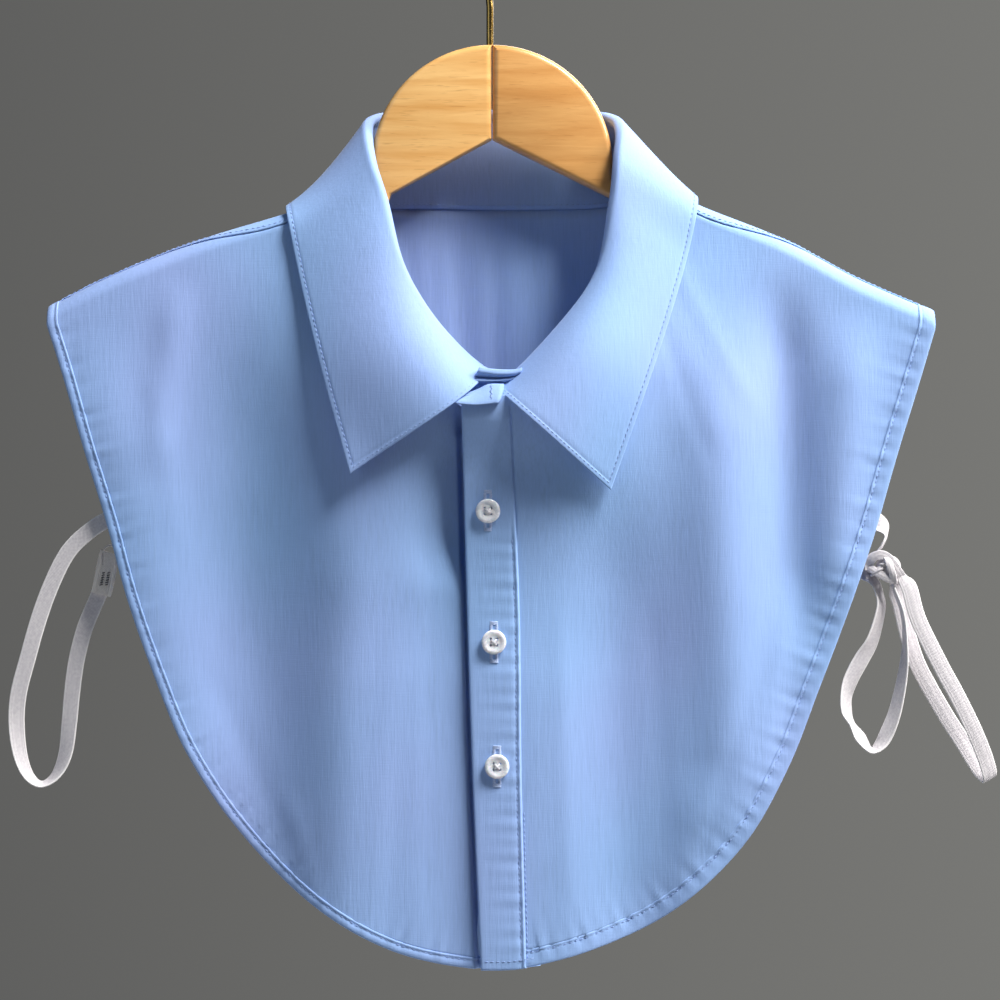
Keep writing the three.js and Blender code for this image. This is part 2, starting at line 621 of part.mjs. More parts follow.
// A four-hole button on the placket, turned to lie along it.
function button({ x, z }) {
  const bevel = 0.45;
  const shape = new THREE.Shape().absarc(0, 0, BUTTON_RADIUS - bevel, 0, 2 * Math.PI);
  for (const [across, up] of [[-1, -1], [-1, 1], [1, 1], [1, -1]]) {
    const [x0, y0] = [across * HOLE_OFFSET, up * HOLE_OFFSET];
    shape.holes.push(new THREE.Path().absarc(x0, y0, HOLE_RADIUS, 0, 2 * Math.PI));
  }
  const geometry = new THREE.ExtrudeGeometry(shape, {
    depth: BUTTON_THICKNESS - 2 * bevel,
    bevelThickness: bevel,
    bevelSize: bevel,
    bevelSegments: 1,
    curveSegments: 4,
  });
  geometry.translate(0, 0, -(BUTTON_THICKNESS / 2 - bevel));
  const step = 6;
  const slope = (depth('right', x, z + step) - depth('right', x, z - step)) / (2 * step);
  const turn = (depth('right', x + step, z) - depth('right', x - step, z)) / (2 * step);
  const facing = vector(turn, -1, slope).normalize();
  const proud = PLACKET_PROUD + PANEL_THICKNESS / 2 + 2 * GAP + BUTTON_THICKNESS / 2;
  return { geometry, at: onCloth('right', x, z, proud), facing };
}

// A flat tape of the given thickness through a table of places.
function tape(rows, thickness, stepsEach) {
  const half = TAPE_WIDTH / 2;
  const last = rows.length - 1;
  const sections = steps(last * stepsEach).map((s) => {
    const row = between(rows, s * last);
    const across = vector(row.width_x, row.width_y, row.width_z).normalize().multiplyScalar(half);
    return [point(row).sub(across), point(row).add(across)];
  });
  return thicken(grid(sections), thickness);
}

// A pulled knot of tape: a ball with lumps where its turns of tape stand out.
function knot() {
  const geometry = new THREE.SphereGeometry(1, 12, 9);
  const positions = geometry.attributes.position;
  const [turns, slant, proud] = [3, 4, 0.1];
  for (const i of count(positions.count)) {
    const p = new THREE.Vector3().fromBufferAttribute(positions, i);
    const around = turns * Math.atan2(p.z, p.x) + slant * p.y;
    const ripple = 1 + proud * Math.hypot(p.x, p.z) * Math.cos(around);
    p.multiplyScalar(ripple);
    positions.setXYZ(i, (p.x * KNOT.width) / 2, (p.y * KNOT.depth) / 2, (p.z * KNOT.height) / 2);
  }
  geometry.translate(KNOT.x, KNOT.y, KNOT.z);
  geometry.deleteAttribute('normal');
  geometry.deleteAttribute('uv');
  return mergeVertices(geometry, 1e-3);
}

// One half of the hanger, from its middle joint along its arm.
function hangerHalf(sign, arm) {
  const below = 2.4; // the arm's top under the middle of the cloth
  const step = 2; // from the arm's top up to the end of the arch
  const joint = ARCH_CENTRE.x + (sign * GAP) / 2;
  const armStart = 57;
  const drop = ridge(sign * armStart) - below + step - ARCH_CENTRE.z;
  const archEnd = radToDeg(Math.asin(drop / ARCH_RADIUS));
  const arch = steps(12).map((s) => {
    const angle = degToRad(lerp(90, archEnd, s));
    const x = ARCH_CENTRE.x + sign * ARCH_RADIUS * Math.cos(angle);
    return new THREE.Vector2(s === 0 ? joint : x, ARCH_CENTRE.z + ARCH_RADIUS * Math.sin(angle));
  });
  const top = [armStart, 64, 76, 92, 110, 130, 150, 166].map((reach) => {
    const x = sign * reach;
    return new THREE.Vector2(x, ridge(x) - below);
  });
  const under = arm.map(({ x, z }) => new THREE.Vector2(x, z));
  const apex = new THREE.Vector2(joint, APEX_Z);
  const edge = [...arch, ...top, ...under, apex];
  const shape = new THREE.Shape(sign < 0 ? edge : edge.reverse());
  const geometry = new THREE.ExtrudeGeometry(shape, {
    depth: HANGER_THICKNESS - 2 * HANGER_EDGE,
    bevelThickness: HANGER_EDGE,
    bevelSize: HANGER_EDGE,
    bevelOffset: -HANGER_EDGE,
    bevelSegments: 2,
  });
  geometry.rotateX(Math.PI / 2);
  geometry.translate(0, HANGER_THICKNESS / 2 - HANGER_EDGE, 0);
  return geometry;
}

// The brass hook: up out of the wood, out to one side, and round over the origin.
function hook() {
  const radius = HOOK_RADIUS + WIRE_RADIUS;
  const stemEnd = ARCH_CENTRE.z + ARCH_RADIUS + GAP;
  const stem = [stemEnd, -60, -52, -46].map((z) => vector(0, 0, z));
  const bow = [-62, -38, -14, 10, 34, 58, 82, 106, 130, 154, 180, 198].map((degrees) => {
    const angle = degToRad(degrees);
    return vector(radius * Math.cos(angle), 0, -HOOK_RADIUS + radius * Math.sin(angle));
  });
  const path = new THREE.CatmullRomCurve3([...stem, vector(3.4, 0, -41.6), ...bow], false, 'centripetal');
  const section = new THREE.Shape().absarc(0, 0, WIRE_RADIUS, 0, 2 * Math.PI);
  return new THREE.ExtrudeGeometry(section, { steps: 40, curveSegments: 3, extrudePath: path });
}

const collar = new THREE.Group();

function add(name, geometry, colour, roughness, metalness = 0) {
  const material = new THREE.MeshStandardMaterial({ color: COLOURS[colour], roughness, metalness });
  const mesh = new THREE.Mesh(geometry, material);
  mesh.name = name;
  collar.add(mesh);
  return mesh;
}

const neckEnds = { left: 0.35, right: SECTIONS.length - 1.25 }; // places in the collar's table
const fronts = {
  left: front('left', OUTLINE_LEFT, 1, HEM_WIDTH_LEFT, named('left collarbone'), neckEnds.left),
  right: front('right', OUTLINE_RIGHT, -1, HEM_WIDTH_RIGHT, named('right collarbone'), neckEnds.right),
};
for (const [side, { panel, hem }] of Object.entries(fronts)) {
  add(`front_${side}`, thicken(panel, PANEL_THICKNESS), 'cloth', 0.85);
  add(`hem_${side}`, thicken(hem, HEM_THICKNESS), 'cloth', 0.85);
}
const behind = back();
add('back_panel', thicken(behind.panel, PANEL_THICKNESS), 'cloth', 0.85);
add('hem_back', thicken(behind.hem, HEM_THICKNESS), 'cloth', 0.85);
add('collar_stand', thicken(stand(), COLLAR_THICKNESS), 'cloth', 0.85);
add('collar_fall', thicken(fall(), COLLAR_THICKNESS), 'cloth', 0.85);
add('placket', thicken(placket(), PANEL_THICKNESS), 'cloth', 0.85);

BUTTONS.forEach((place, i) => {
  const { geometry, at, facing } = button(place);
  const mesh = add(`button_${i + 1}`, geometry, 'button', 0.25);
  mesh.position.copy(at);
  mesh.quaternion.setFromUnitVectors(vector(0, 0, 1), facing);
});

for (const [name, rows] of Object.entries(TAPES)) {
  const doubled = name === 'strap_left_end';
  const thickness = doubled ? DOUBLED_THICKNESS : TAPE_THICKNESS;
  add(name, tape(rows, thickness, 3), 'tape', 0.8);
}
add('knot_right', knot(), 'tape', 0.8);

add('hanger_left', hangerHalf(-1, ARM_LEFT), 'wood', 0.5);
add('hanger_right', hangerHalf(1, ARM_RIGHT), 'wood', 0.5);
add('hook', hook(), 'brass', 0.3, 1);

export default collar;
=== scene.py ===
# A detachable shirt collar with its short fronts and back, hanging on a plain wooden hanger.
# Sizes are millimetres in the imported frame: X to the right as seen from the front, Y away from the
# viewer, Z up, with the origin at the inside of the hook's crown. Meshes are scaled to metres.

import math

import bmesh
import bpy
import numpy as np
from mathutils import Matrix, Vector


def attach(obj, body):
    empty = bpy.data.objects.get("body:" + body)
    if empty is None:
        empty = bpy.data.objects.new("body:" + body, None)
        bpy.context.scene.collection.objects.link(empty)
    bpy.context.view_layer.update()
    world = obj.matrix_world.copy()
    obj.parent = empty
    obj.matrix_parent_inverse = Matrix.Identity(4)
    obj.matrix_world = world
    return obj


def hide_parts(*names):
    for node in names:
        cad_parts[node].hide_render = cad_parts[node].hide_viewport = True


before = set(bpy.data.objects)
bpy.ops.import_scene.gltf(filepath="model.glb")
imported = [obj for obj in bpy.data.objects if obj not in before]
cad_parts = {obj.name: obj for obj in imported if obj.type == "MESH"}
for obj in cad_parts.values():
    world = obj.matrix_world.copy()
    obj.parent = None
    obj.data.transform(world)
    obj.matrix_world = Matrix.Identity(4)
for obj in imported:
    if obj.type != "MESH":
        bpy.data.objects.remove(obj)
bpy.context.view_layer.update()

MM = 0.001
BODY = "root"
TO_FRONT = (0, -1.0, 0)
rng = np.random.default_rng(7)

# Camera: level, straight in front, over the middle of the picture
PICTURE_CENTRE = (4.4, -268.2)
PICTURE_WIDTH = 440
CAMERA_DISTANCE = 1900
SENSOR = 36

# Sizes shared with the frame
SHOULDER_RADIUS = 7.5
SIDE_DEPTH = 8.5
TAB_RECESS = 7
TAB_RECESS_SPREAD = 34
NECK_DEPTH_FRONT = 24
NECK_DEPTH_BACK = 8
NECK_SPREAD = 75
SEAM_ANGLE_NECK = 68  # degrees in front of the ridge where back and front are joined, at the collar
SEAM_ANGLE_TIP = 12
UNDERLAP = 2.8
TUCK = 5.5
TAPE_WIDTH = 7.2
HANGER_THICKNESS = 12
ARCH_RADIUS = 53
ARCH_CENTRE = (0.9, -121.3)
WIRE_RADIUS = 1.55
HOOK_RADIUS = 20
HEM_WIDTH = {"left": 5.0, "right": 7.6, "back": 6.0}

# Sizes of the cloth as it is sewn
CLOTH = 0.45
COLLAR_CLOTH = 0.95
STITCH_PITCH = 2.5
STITCH_LENGTH = 1.7
THREAD_RADIUS = 0.16
WELD = 0.002  # vertices nearer than this become one
TOPSTITCH_INSET = 2.4
GAP_DEPTH = 3.4  # how sharply the left front drops away beside the placket

# Where something sets in or dies away: how far below the origin, or X where the name says so.
NECK_START = (133, 215)
NECK_FADE = (212, 340)
BACK_FADE = (140, 470)
WAVES_START = (150, 190)
RECESS_START = (222, 256)
RECESS_FADE = (256, 350)
DROP_START = (222, 240)
PLACKET_START = (223, 234)
STRIP_START = (425, 448)
STRIP_FADE = (455, 470)
UNDERLAP_START_X = (-24, -8)
TUCK_START_X = (-27, -15)
SEAM_TURN_X = (95, 150)


def table(columns, rows):
    """Rows of values as dictionaries with the named columns."""
    return [dict(zip(columns, row)) for row in rows]


RIDGE = table(("x", "z"), [
    (-196, -184.6), (-170, -171.3), (-127, -153.8), (-90, -142.4), (-64, -132.8), (64, -126.6),
    (94, -139.6), (129, -153.6), (161, -170.6), (197, -186.2),
])
OUTLINE = {
    "left": [
        (-194.2, -191.6), (-187.4, -213), (-177.8, -246), (-168.2, -277), (-158.9, -311), (-147.0, -345),
        (-133.2, -378), (-111.5, -411.5), (-80.5, -443), (-44.0, -464.6), (-10.0, -472.8), (9.0, -473.2),
    ],
    "right": [
        (195.2, -193), (188.4, -216), (178.6, -248), (168.2, -284), (157.0, -317), (144.2, -351),
        (130.8, -385), (110.8, -419.5), (78.5, -449), (45.0, -464.8), (12.0, -472.8), (-3.2, -473.2),
    ],
}
BACK_MIDDLE = (2, -473.4)
BACK_NARROWER = 0.994
BACK_LONGER = 1.0057

# Soft folds of the hanging cloth: forward of the plain surface, or back where negative.
FOLD_COLUMNS = ("x_top", "z_top", "x_end", "z_end", "half_width", "forward")
FOLDS = {
    "left": table(FOLD_COLUMNS, [
        (-176, -190, -118, -430, 22, 3.0),
        (-112, -165, -98, -520, 25, -4.2),
        (-62, -235, -66, -530, 20, 4.4),
        (-22, -232, -21, -530, 9, -1.8),
        (-136, -168, -147, -262, 8, 1.2),
        (-19, -185, -15, -310, 18, -7),
    ]),
    "right": table(FOLD_COLUMNS, [
        (52, -245, 62, -500, 19, -3.8),
        (98, -175, 108, -440, 18, 5.2),
        (127, -165, 136, -340, 11, -4.2),
        (160, -182, 148, -330, 13, 3.2),
        (96, -380, 88, -500, 14, 2.4),
    ]),
    "back": table(FOLD_COLUMNS, [
        (-30, -130, -34, -420, 8, -1.6),
        (-12, -130, -10, -420, 8, 1.6),
        (14, -130, 18, -420, 10, -1.4),
        (-95, -150, -105, -520, 26, 2.6),
        (92, -150, 104, -520, 26, 2.6),
    ]),
}
# Small creases that only the fine surface has.
CREASES = {
    "left": table(FOLD_COLUMNS, [
        (-70, -150, -118, -245, 5, 0.35),
        (-60, -165, -104, -262, 4, -0.3),
        (-150, -200, -134, -300, 6, 0.4),
        (-40, -300, -52, -470, 6, 0.4),
        (-128, -330, -80, -440, 7, -0.35),
        (-90, -390, -70, -470, 5, 0.4),
    ]),
    "right": table(FOLD_COLUMNS, [
        (72, -150, 122, -240, 5, 0.35),
        (66, -168, 100, -262, 4, -0.3),
        (30, -300, 36, -470, 5, 0.4),
        (70, -300, 78, -440, 6, -0.4),
        (140, -240, 118, -400, 5, 0.5),
        (120, -330, 84, -455, 5, -0.4),
    ]),
    "back": table(FOLD_COLUMNS, [
        (-55, -150, -52, -330, 5, 0.5),
        (38, -145, 42, -360, 5, 0.5),
        (-130, -200, -112, -400, 7, 0.4),
        (125, -205, 104, -420, 7, 0.4),
        (0, -250, 4, -470, 8, -0.5),
        (-37, -143, -31, -226, 4.0, 0.7),
        (-21, -143, -18, -232, 3.4, -0.8),
        (3, -143, 2, -236, 4.0, 0.8),
        (27, -143, 24, -232, 3.6, -0.8),
    ]),
}
PLACKET = table(("z", "left", "right"), [
    (-473.4, -3.9, 15.6),
    (-391, -7.5, 13.6),
    (-312, -10.1, 12.6),
    (-229, -12.3, 8.8),
])
BUTTONS = [(-0.9, -272.6), (1.8, -330.2), (3.1, -384.4)]

# Sections of the collar from its left end to its right end, as in the frame.
COLLAR_COLUMNS = (
    "name", "on", "seam_x", "seam_at", "tuck", "roll_x", "roll_y", "roll_z", "edge_x", "edge_at", "lift",
    "near", "far",
)
COLLAR = table(COLLAR_COLUMNS, [
    ("inner tab", "left", 13.0, -227.0, 5.8, 14.0, -9.8, -212.0, -60.7, -256.9, 8, 38, 6),
    ("left point", "left", -1.5, -227.6, 5.4, -1.8, -11.2, -211.4, -60.7, -256.9, 8, 38, 6),
    ("left front", "left", -22, -214.5, 0, -21.5, -18, -193.2, -70.4, -222.0, 7, 20, 8),
    ("left breast", "left", -45, -190, 0, -37.0, -19, -167.0, -78.9, -189.0, 5, 8, 4),
    ("left throat", "left", -58.5, -163, 0, -45.0, -15.5, -137.0, -85.4, -160.5, 3.5, 4, 2),
    ("left collarbone", "over", -64.3, 90, 0, -50.2, -12.5, -120.5, -88.4, 70, 3, 1, -2),
    ("left shoulder", "over", -64.3, 0, 0, -52.6, -3.5, -106.0, -89.6, 0, 3, 1, -3),
    ("left behind", "over", -64.3, -90, 0, -50.6, 7, -99.2, -86, -72, 3.5, 1, 0),
    ("left nape", "back", -45, -139.2, 0, -38.0, 17, -95.8, -60, -150.5, 5, 4, 2),
    ("centre back", "back", 3, -139.5, 0, 2, 22, -95.0, 3, -148.0, 6, 5, 2),
    ("right nape", "back", 48, -139.0, 0, 40.0, 17.5, -95.8, 62, -149.0, 5, 4, 3),
    ("right behind", "over", 65.5, -90, 0, 52.5, 7, -98.6, 86.5, -72, 3.5, 2, 2),
    ("right shoulder", "over", 65.5, 0, 0, 56.0, -3.5, -104.6, 90.8, 0, 3.2, 2, 0),
    ("right collarbone", "over", 65.5, 90, 0, 54.6, -12.5, -118.5, 90.6, 70, 3.2, 2, 2),
    ("right throat", "right", 61, -161, 0, 52.6, -16.5, -138.0, 86.2, -162.0, 4, 4, 3),
    ("right breast", "right", 48.5, -190, 0, 46.2, -20, -168.5, 78.0, -190.0, 5, 10, 4),
    ("right front", "right", 25, -216, 0, 29.0, -21, -195.0, 66.6, -224.0, 5, 22, 8),
    ("right point", "right", 3, -225.4, 0, 3.1, -20.5, -220.6, 52.6, -263.8, 5, 34, 8),
    ("outer tab", "right", -15, -223.2, 0, -13.5, -22, -218.4, 52.6, -263.8, 5, 34, 8),
])

# Tapes: places along each, and then the direction across the tape there.
TAPES = {
    "strap_left": [
        (-161.5, -5.2, -275.8, -0.1, 0.1, 1), (-168.5, -5.2, -277.2, -0.25, 0.1, 0.95),
        (-176.9, -5.1, -282.7, -0.55, 0.1, 0.83), (-185.3, -5.0, -291.3, -0.75, 0.1, 0.66),
        (-192.1, -4.8, -304.4, -0.88, 0.05, 0.45), (-197.9, -4.5, -319.9, -0.94, 0, 0.33),
        (-203.1, -4.0, -338.0, -0.96, 0, 0.27), (-207.0, -3.2, -352.9, -0.97, -0.1, 0.2),
        (-208.1, -2.2, -366.0, -0.95, -0.3, 0), (-206.6, -1.4, -379.8, -0.75, -0.6, -0.15),
        (-203.0, -0.9, -389.2, -0.45, -0.85, -0.3), (-197.4, -0.4, -393.2, 0.05, -0.95, -0.3),
        (-191.2, 0.3, -389.4, 0.55, -0.8, -0.2), (-187.0, 1.2, -380.1, 0.85, -0.5, -0.15),
        (-185.3, 2.2, -366.0, 0.96, -0.25, -0.1), (-184.1, 3.1, -352.3, 1, -0.1, -0.1),
        (-182.2, 3.8, -338.5, 1, -0.05, -0.15), (-178.6, 4.3, -324.5, 0.97, 0, -0.2),
        (-173.3, 4.6, -311.7, 0.92, 0, -0.35), (-171.5, 4.3, -307.2, 0.95, 0, -0.33),
        (-170.3, 3.9, -303.0, 0.97, 0, -0.26),
    ],
    "strap_left_end": [
        (-171.6, 4.2, -309.8, 0.95, 0, -0.38), (-170.6, 3.8, -306.0, 0.96, 0, -0.3),
        (-169.6, 3.5, -301.0, 0.97, 0, -0.22), (-168.6, 3.3, -296.0, 0.98, 0, -0.16),
        (-167.4, 3.1, -291.4, 0.97, 0, -0.14),
    ],
    "strap_right_tab": [
        (162.0, 3.4, -272.4, 0.5, 0, 0.86), (168.6, 3.2, -276.2, 0.5, 0, 0.86),
        (172.4, 2.9, -279.4, 0.45, 0.3, 0.85), (174.2, 2.2, -284.0, 0.2, 0.95, 0.1),
        (172.6, 1.2, -288.2, 0.1, 0.98, -0.1), (170.4, 0.6, -291.4, 0.1, 0.98, -0.1),
        (170.6, 0.3, -294.6, 0.1, 0.98, -0.1),
    ],
    "strap_right_loop": [
        (160.8, 3.6, -298.9, 0.3, 0.4, 0.85), (165.6, 3.5, -300.6, 0.35, 0.47, 0.81),
        (169.2, 3.1, -303.8, 0.48, 0.8, 0.36), (171.4, 2.6, -308.8, 0.5, 0.85, 0.13),
        (172.2, 2.2, -316.2, 0.6, 0.8, 0), (168.4, 1.4, -330.0, 0.7, 0.6, -0.4),
        (163.4, 1.0, -338.6, 0.84, 0.24, -0.48), (159.0, 0.7, -346.9, 0.86, 0.34, -0.38),
        (156.8, 0.5, -354.2, 0.76, 0.64, -0.12), (156.9, 0.3, -361.0, 0.67, 0.73, 0.1),
        (159.3, 0.0, -366.8, 0.32, 0.93, 0.19), (162.9, -0.3, -372.6, 0.54, 0.74, 0.4),
        (167.4, -0.9, -378.2, 0.1, 0.95, 0.28), (171.2, -1.1, -376.2, -0.36, 0.8, 0.48),
        (174.3, -1.2, -371.1, -0.7, 0.59, 0.4), (178.1, -1.2, -361.0, -0.66, 0.71, 0.23),
        (181.6, -1.0, -344.3, -0.48, 0.87, 0.09), (182.6, -0.8, -330.0, -0.18, 0.97, 0.02),
        (181.6, -0.6, -318.6, -0.1, 0.99, -0.04), (178.6, -0.3, -309.4, -0.1, 0.99, -0.05),
        (176.6, -0.1, -303.6, -0.1, 0.99, -0.05),
    ],
    "strap_right_long": [
        (179.4, -1.6, -299.2, 0.9, 0.1, 0.45), (181.9, -2.5, -303.4, 0.9, 0.1, 0.42),
        (184.4, -3.2, -307.6, 0.93, 0.1, 0.38), (188.2, -3.8, -321.0, 0.9, 0.1, 0.42),
        (198.0, -3.8, -341.0, 0.87, 0.1, 0.48), (204.0, -3.8, -352.0, 0.87, 0.1, 0.48),
        (209.2, -3.8, -362.2, 0.88, 0.1, 0.46), (213.4, -3.7, -371.2, 0.9, 0.1, 0.42),
        (217.0, -3.2, -380.0, 0.9, 0.15, 0.4), (219.6, -1.8, -388.2, 0.85, 0.3, 0.42),
        (219.4, 0.4, -390.8, 0.8, 0.4, 0.42), (215.8, 2.6, -387.0, 0.82, 0.25, 0.48),
        (208.8, 4.2, -375.4, 0.84, 0.1, 0.5), (201.4, 4.8, -363.8, 0.85, 0.05, 0.5),
        (194.0, 5.1, -351.0, 0.87, 0.05, 0.48), (188.4, 5.2, -340.0, 0.9, 0.05, 0.42),
        (184.4, 5.2, -328.0, 0.95, 0.1, 0.3), (181.4, 5.0, -316.0, 0.97, 0.1, 0.22),
        (178.8, 4.3, -307.0, 0.97, 0.1, 0.25), (177.6, 3.2, -301.6, 0.97, 0.1, 0.25),
    ],
}
ARMS = {
    "left": [
        (-173, -177), (-176.5, -185), (-170, -192.5), (-140, -179.5), (-100, -165), (-66, -153.5),
        (-48.5, -146.5), (-43.5, -133.8),
    ],
    "right": [
        (173, -179.5), (176.5, -187.5), (170, -194.5), (140, -180), (100, -163), (70, -149), (60, -142),
        (54, -136.0),
    ],
}
APEX_Z = -109.8
KNOT = (175.2, 0.2, -297.6)


# Numbers and lines

def lerp(a, b, t):
    return a + (b - a) * t


def smoothstep(x, low, high):
    t = np.clip((x - low) / (high - low), 0, 1)
    return t * t * (3 - 2 * t)


def unit(v):
    return v / np.maximum(np.linalg.norm(v, axis=-1, keepdims=True), 1e-9)


def hermite(a, b, start, end, t):
    return a + t * start + t**2 * (3 * (b - a) - 2 * start - end) + t**3 * (2 * (a - b) + start + end)


def read(rows, along, column, at):
    """One column of a table read smoothly at places in another, rising column."""
    x = np.array([row[along] for row in rows], float)
    y = np.array([row[column] for row in rows], float)
    before, after = np.maximum(np.arange(len(x)) - 1, 0), np.minimum(np.arange(len(x)) + 1, len(x) - 1)
    slope = (y[after] - y[before]) / (x[after] - x[before])
    i = np.clip(np.searchsorted(x, at, side="right") - 1, 0, len(x) - 2)
    span = x[i + 1] - x[i]
    t = np.clip((at - x[i]) / span, 0, 1)
    return hermite(y[i], y[i + 1], slope[i] * span, slope[i + 1] * span, t)


def between(values, place):
    """Rows of values, smooth at places counted in rows."""
    values = np.asarray(values, float)
    place = np.asarray(place, float)
    i = np.clip(np.floor(place).astype(int), 0, len(values) - 2)
    a, b, c, d = (values[np.clip(i + k, 0, len(values) - 1)] for k in (-1, 0, 1, 2))
    t = (place - i)[..., None]
    return hermite(b, c, (c - a) / 2, (d - b) / 2, t)


def smooth_line(points, each=24):
    """A dense line through points, rounder at far ones. Works on many lines at once."""
    p = np.asarray(points, float)
    p = np.concatenate([[2 * p[0] - p[1]], p, [2 * p[-1] - p[-2]]])
    t = np.linspace(0, 1, each, endpoint=False).reshape(-1, *[1] * (p.ndim - 1))
    parts = []
    for a, b, c, d in zip(p, p[1:], p[2:], p[3:]):
        k0, k1, k2 = (np.sqrt(np.linalg.norm(s, axis=-1, keepdims=True)) for s in (b - a, c - b, d - c))
        start = ((b - a) / k0 - (c - a) / (k0 + k1) + (c - b) / k1) * k1
        end = ((c - b) / k1 - (d - b) / (k1 + k2) + (d - c) / k2) * k1
        parts.append(hermite(b, c, start, end, t))
    return np.concatenate([*parts, p[-2:-1]])


def lengths(line):
    """How far along a line each of its points is."""
    return np.concatenate([[0], np.cumsum(np.linalg.norm(np.diff(line, axis=0), axis=1))])


def along(line, values, at):
    """Values given at a line's points, read at distances along it."""
    s = lengths(line)
    return np.stack([np.interp(at, s, column) for column in np.asarray(values, float).T], -1)


# The cloth's middle surface

def ridge(x):
    return read(RIDGE, "x", "z", x)


def fold_sum(rows, x, z):
    total = 0
    for row in rows:
        t = (row["z_top"] - z) / (row["z_top"] - row["z_end"])
        ends = smoothstep(t, 0, 0.25) * (1 - smoothstep(t, 0.75, 1))
        across = (x - lerp(row["x_top"], row["x_end"], t)) / row["half_width"]
        total = total + row["forward"] * ends * np.exp(-across * across)
    return total


UNEVEN = {side: rng.uniform(-1, 1, (9, 4)) for side in ("left", "right", "back")}
UNEVEN_DEPTH = 0.14
FIRST_PITCH = 42  # of the shortest wave; each further one is longer by PITCH_STEP
PITCH_STEP = 9


def uneven(side, x, z):
    """A slight waviness, a fraction of a millimetre, from a few long waves."""
    waves = 0
    for i, (a, b, phase, size) in enumerate(UNEVEN[side]):
        pitch = FIRST_PITCH + PITCH_STEP * i
        aside = 2 * np.pi * (x + 0.35 * a * z) / pitch + 3 * phase
        down = 2 * np.pi * (z + 0.3 * b * x) / (2.6 * pitch) + 3 * b
        waves = waves + size * np.sin(aside) * np.cos(down)
    return UNEVEN_DEPTH * waves


def depth(side, x, z):
    """Y of the middle of a panel's cloth below the shoulder's round."""
    swell = np.exp(-((x / NECK_SPREAD) ** 2))
    low = smoothstep(-z, *WAVES_START)
    soft = fold_sum(FOLDS[side], x, z) + fold_sum(CREASES[side], x, z) + low * uneven(side, x, z)
    if side == "back":
        return SIDE_DEPTH + NECK_DEPTH_BACK * swell * lerp(1, 0.3, smoothstep(-z, *BACK_FADE)) + soft
    hang = smoothstep(-z, *NECK_START) * lerp(1, 0.3, smoothstep(-z, *NECK_FADE))
    under = UNDERLAP * smoothstep(x, *UNDERLAP_START_X) + beside_placket(x, z) if side == "left" else 0
    below = smoothstep(-z, *RECESS_START) * (1 - smoothstep(-z, *RECESS_FADE))
    recess = TAB_RECESS * np.exp(-((x / TAB_RECESS_SPREAD) ** 2)) * below
    return under + recess - SIDE_DEPTH - NECK_DEPTH_FRONT * swell * hang - soft


def beside_placket(x, z):
    """The sharp drop of the left front just before it runs behind the placket."""
    edge = read(PLACKET, "z", "left", z)
    return GAP_DEPTH * smoothstep(x, edge - 2.9, edge - 1.0) * smoothstep(-z, *DROP_START)


def seam_angle(x):
    """Degrees in front of the ridge of the forward shoulder seam."""
    return lerp(SEAM_ANGLE_NECK, SEAM_ANGLE_TIP, smoothstep(np.abs(x), *SEAM_TURN_X))


def over_shoulder(x, degrees, lift=0.0):
    """Places on the shoulder's round, in degrees in front of the ridge, lifted off the cloth."""
    x, degrees, lift = np.broadcast_arrays(np.asarray(x, float), degrees, lift)
    z = ridge(x) - SHOULDER_RADIUS
    front = np.where(x < 0, depth("left", x, z), depth("right", x, z))
    reach = np.abs(np.where(degrees > 0, front, depth("back", x, z)))
    angle = np.radians(degrees)
    y = -np.sin(angle) * (reach + lift)
    return np.stack([x, y, z + np.cos(angle) * (SHOULDER_RADIUS + lift)], -1)


def facing(side, x, z):
    """Outward direction of a panel."""
    step = 0.8
    slope_x = (depth(side, x + step, z) - depth(side, x - step, z)) / (2 * step)
    slope_z = (depth(side, x, z + step) - depth(side, x, z - step)) / (2 * step)
    away = 1 if side == "back" else -1
    return unit(np.stack([-away * slope_x, np.full_like(slope_x, away), -away * slope_z], -1))


def on_panel(side, flat, lift=0.0):
    """Places on a panel from x and z, lifted off its middle."""
    x, z = flat[..., 0], flat[..., 1]
    middle = np.stack([x, depth(side, x, z), z], -1)
    return middle + facing(side, x, z) * np.asarray(lift, float)[..., None]


def on_cloth(side, x, at, lift=0.0):
    """One place straight in front of or behind a panel, or over the shoulder."""
    if side == "over":
        return over_shoulder(x, at, lift)
    return np.array([x, depth(side, x, at) + (lift if side == "back" else -lift), at])


SECTIONS = np.array([
    np.concatenate([
        on_cloth(row["on"], float(row["seam_x"]), float(row["seam_at"]), -row["tuck"]),
        [row["roll_x"], row["roll_y"], row["roll_z"]],
        on_cloth(row["on"], float(row["edge_x"]), float(row["edge_at"]), row["lift"]),
        [row["near"], row["far"]],
    ])
    for row in COLLAR
])
NAMES = [row["name"] for row in COLLAR]


def seam_at(place):
    return between(SECTIONS[:, 0:3], place)


def neck_edge(place, turn, allowance=0.2):
    """The panels' neck edge in x and z, outside the neck seam."""
    step = 0.05
    way = seam_at(place + step) - seam_at(place - step)
    across = unit(np.stack([-way[..., 2], way[..., 0]], -1)) * turn * allowance
    return seam_at(place)[..., [0, 2]] + across


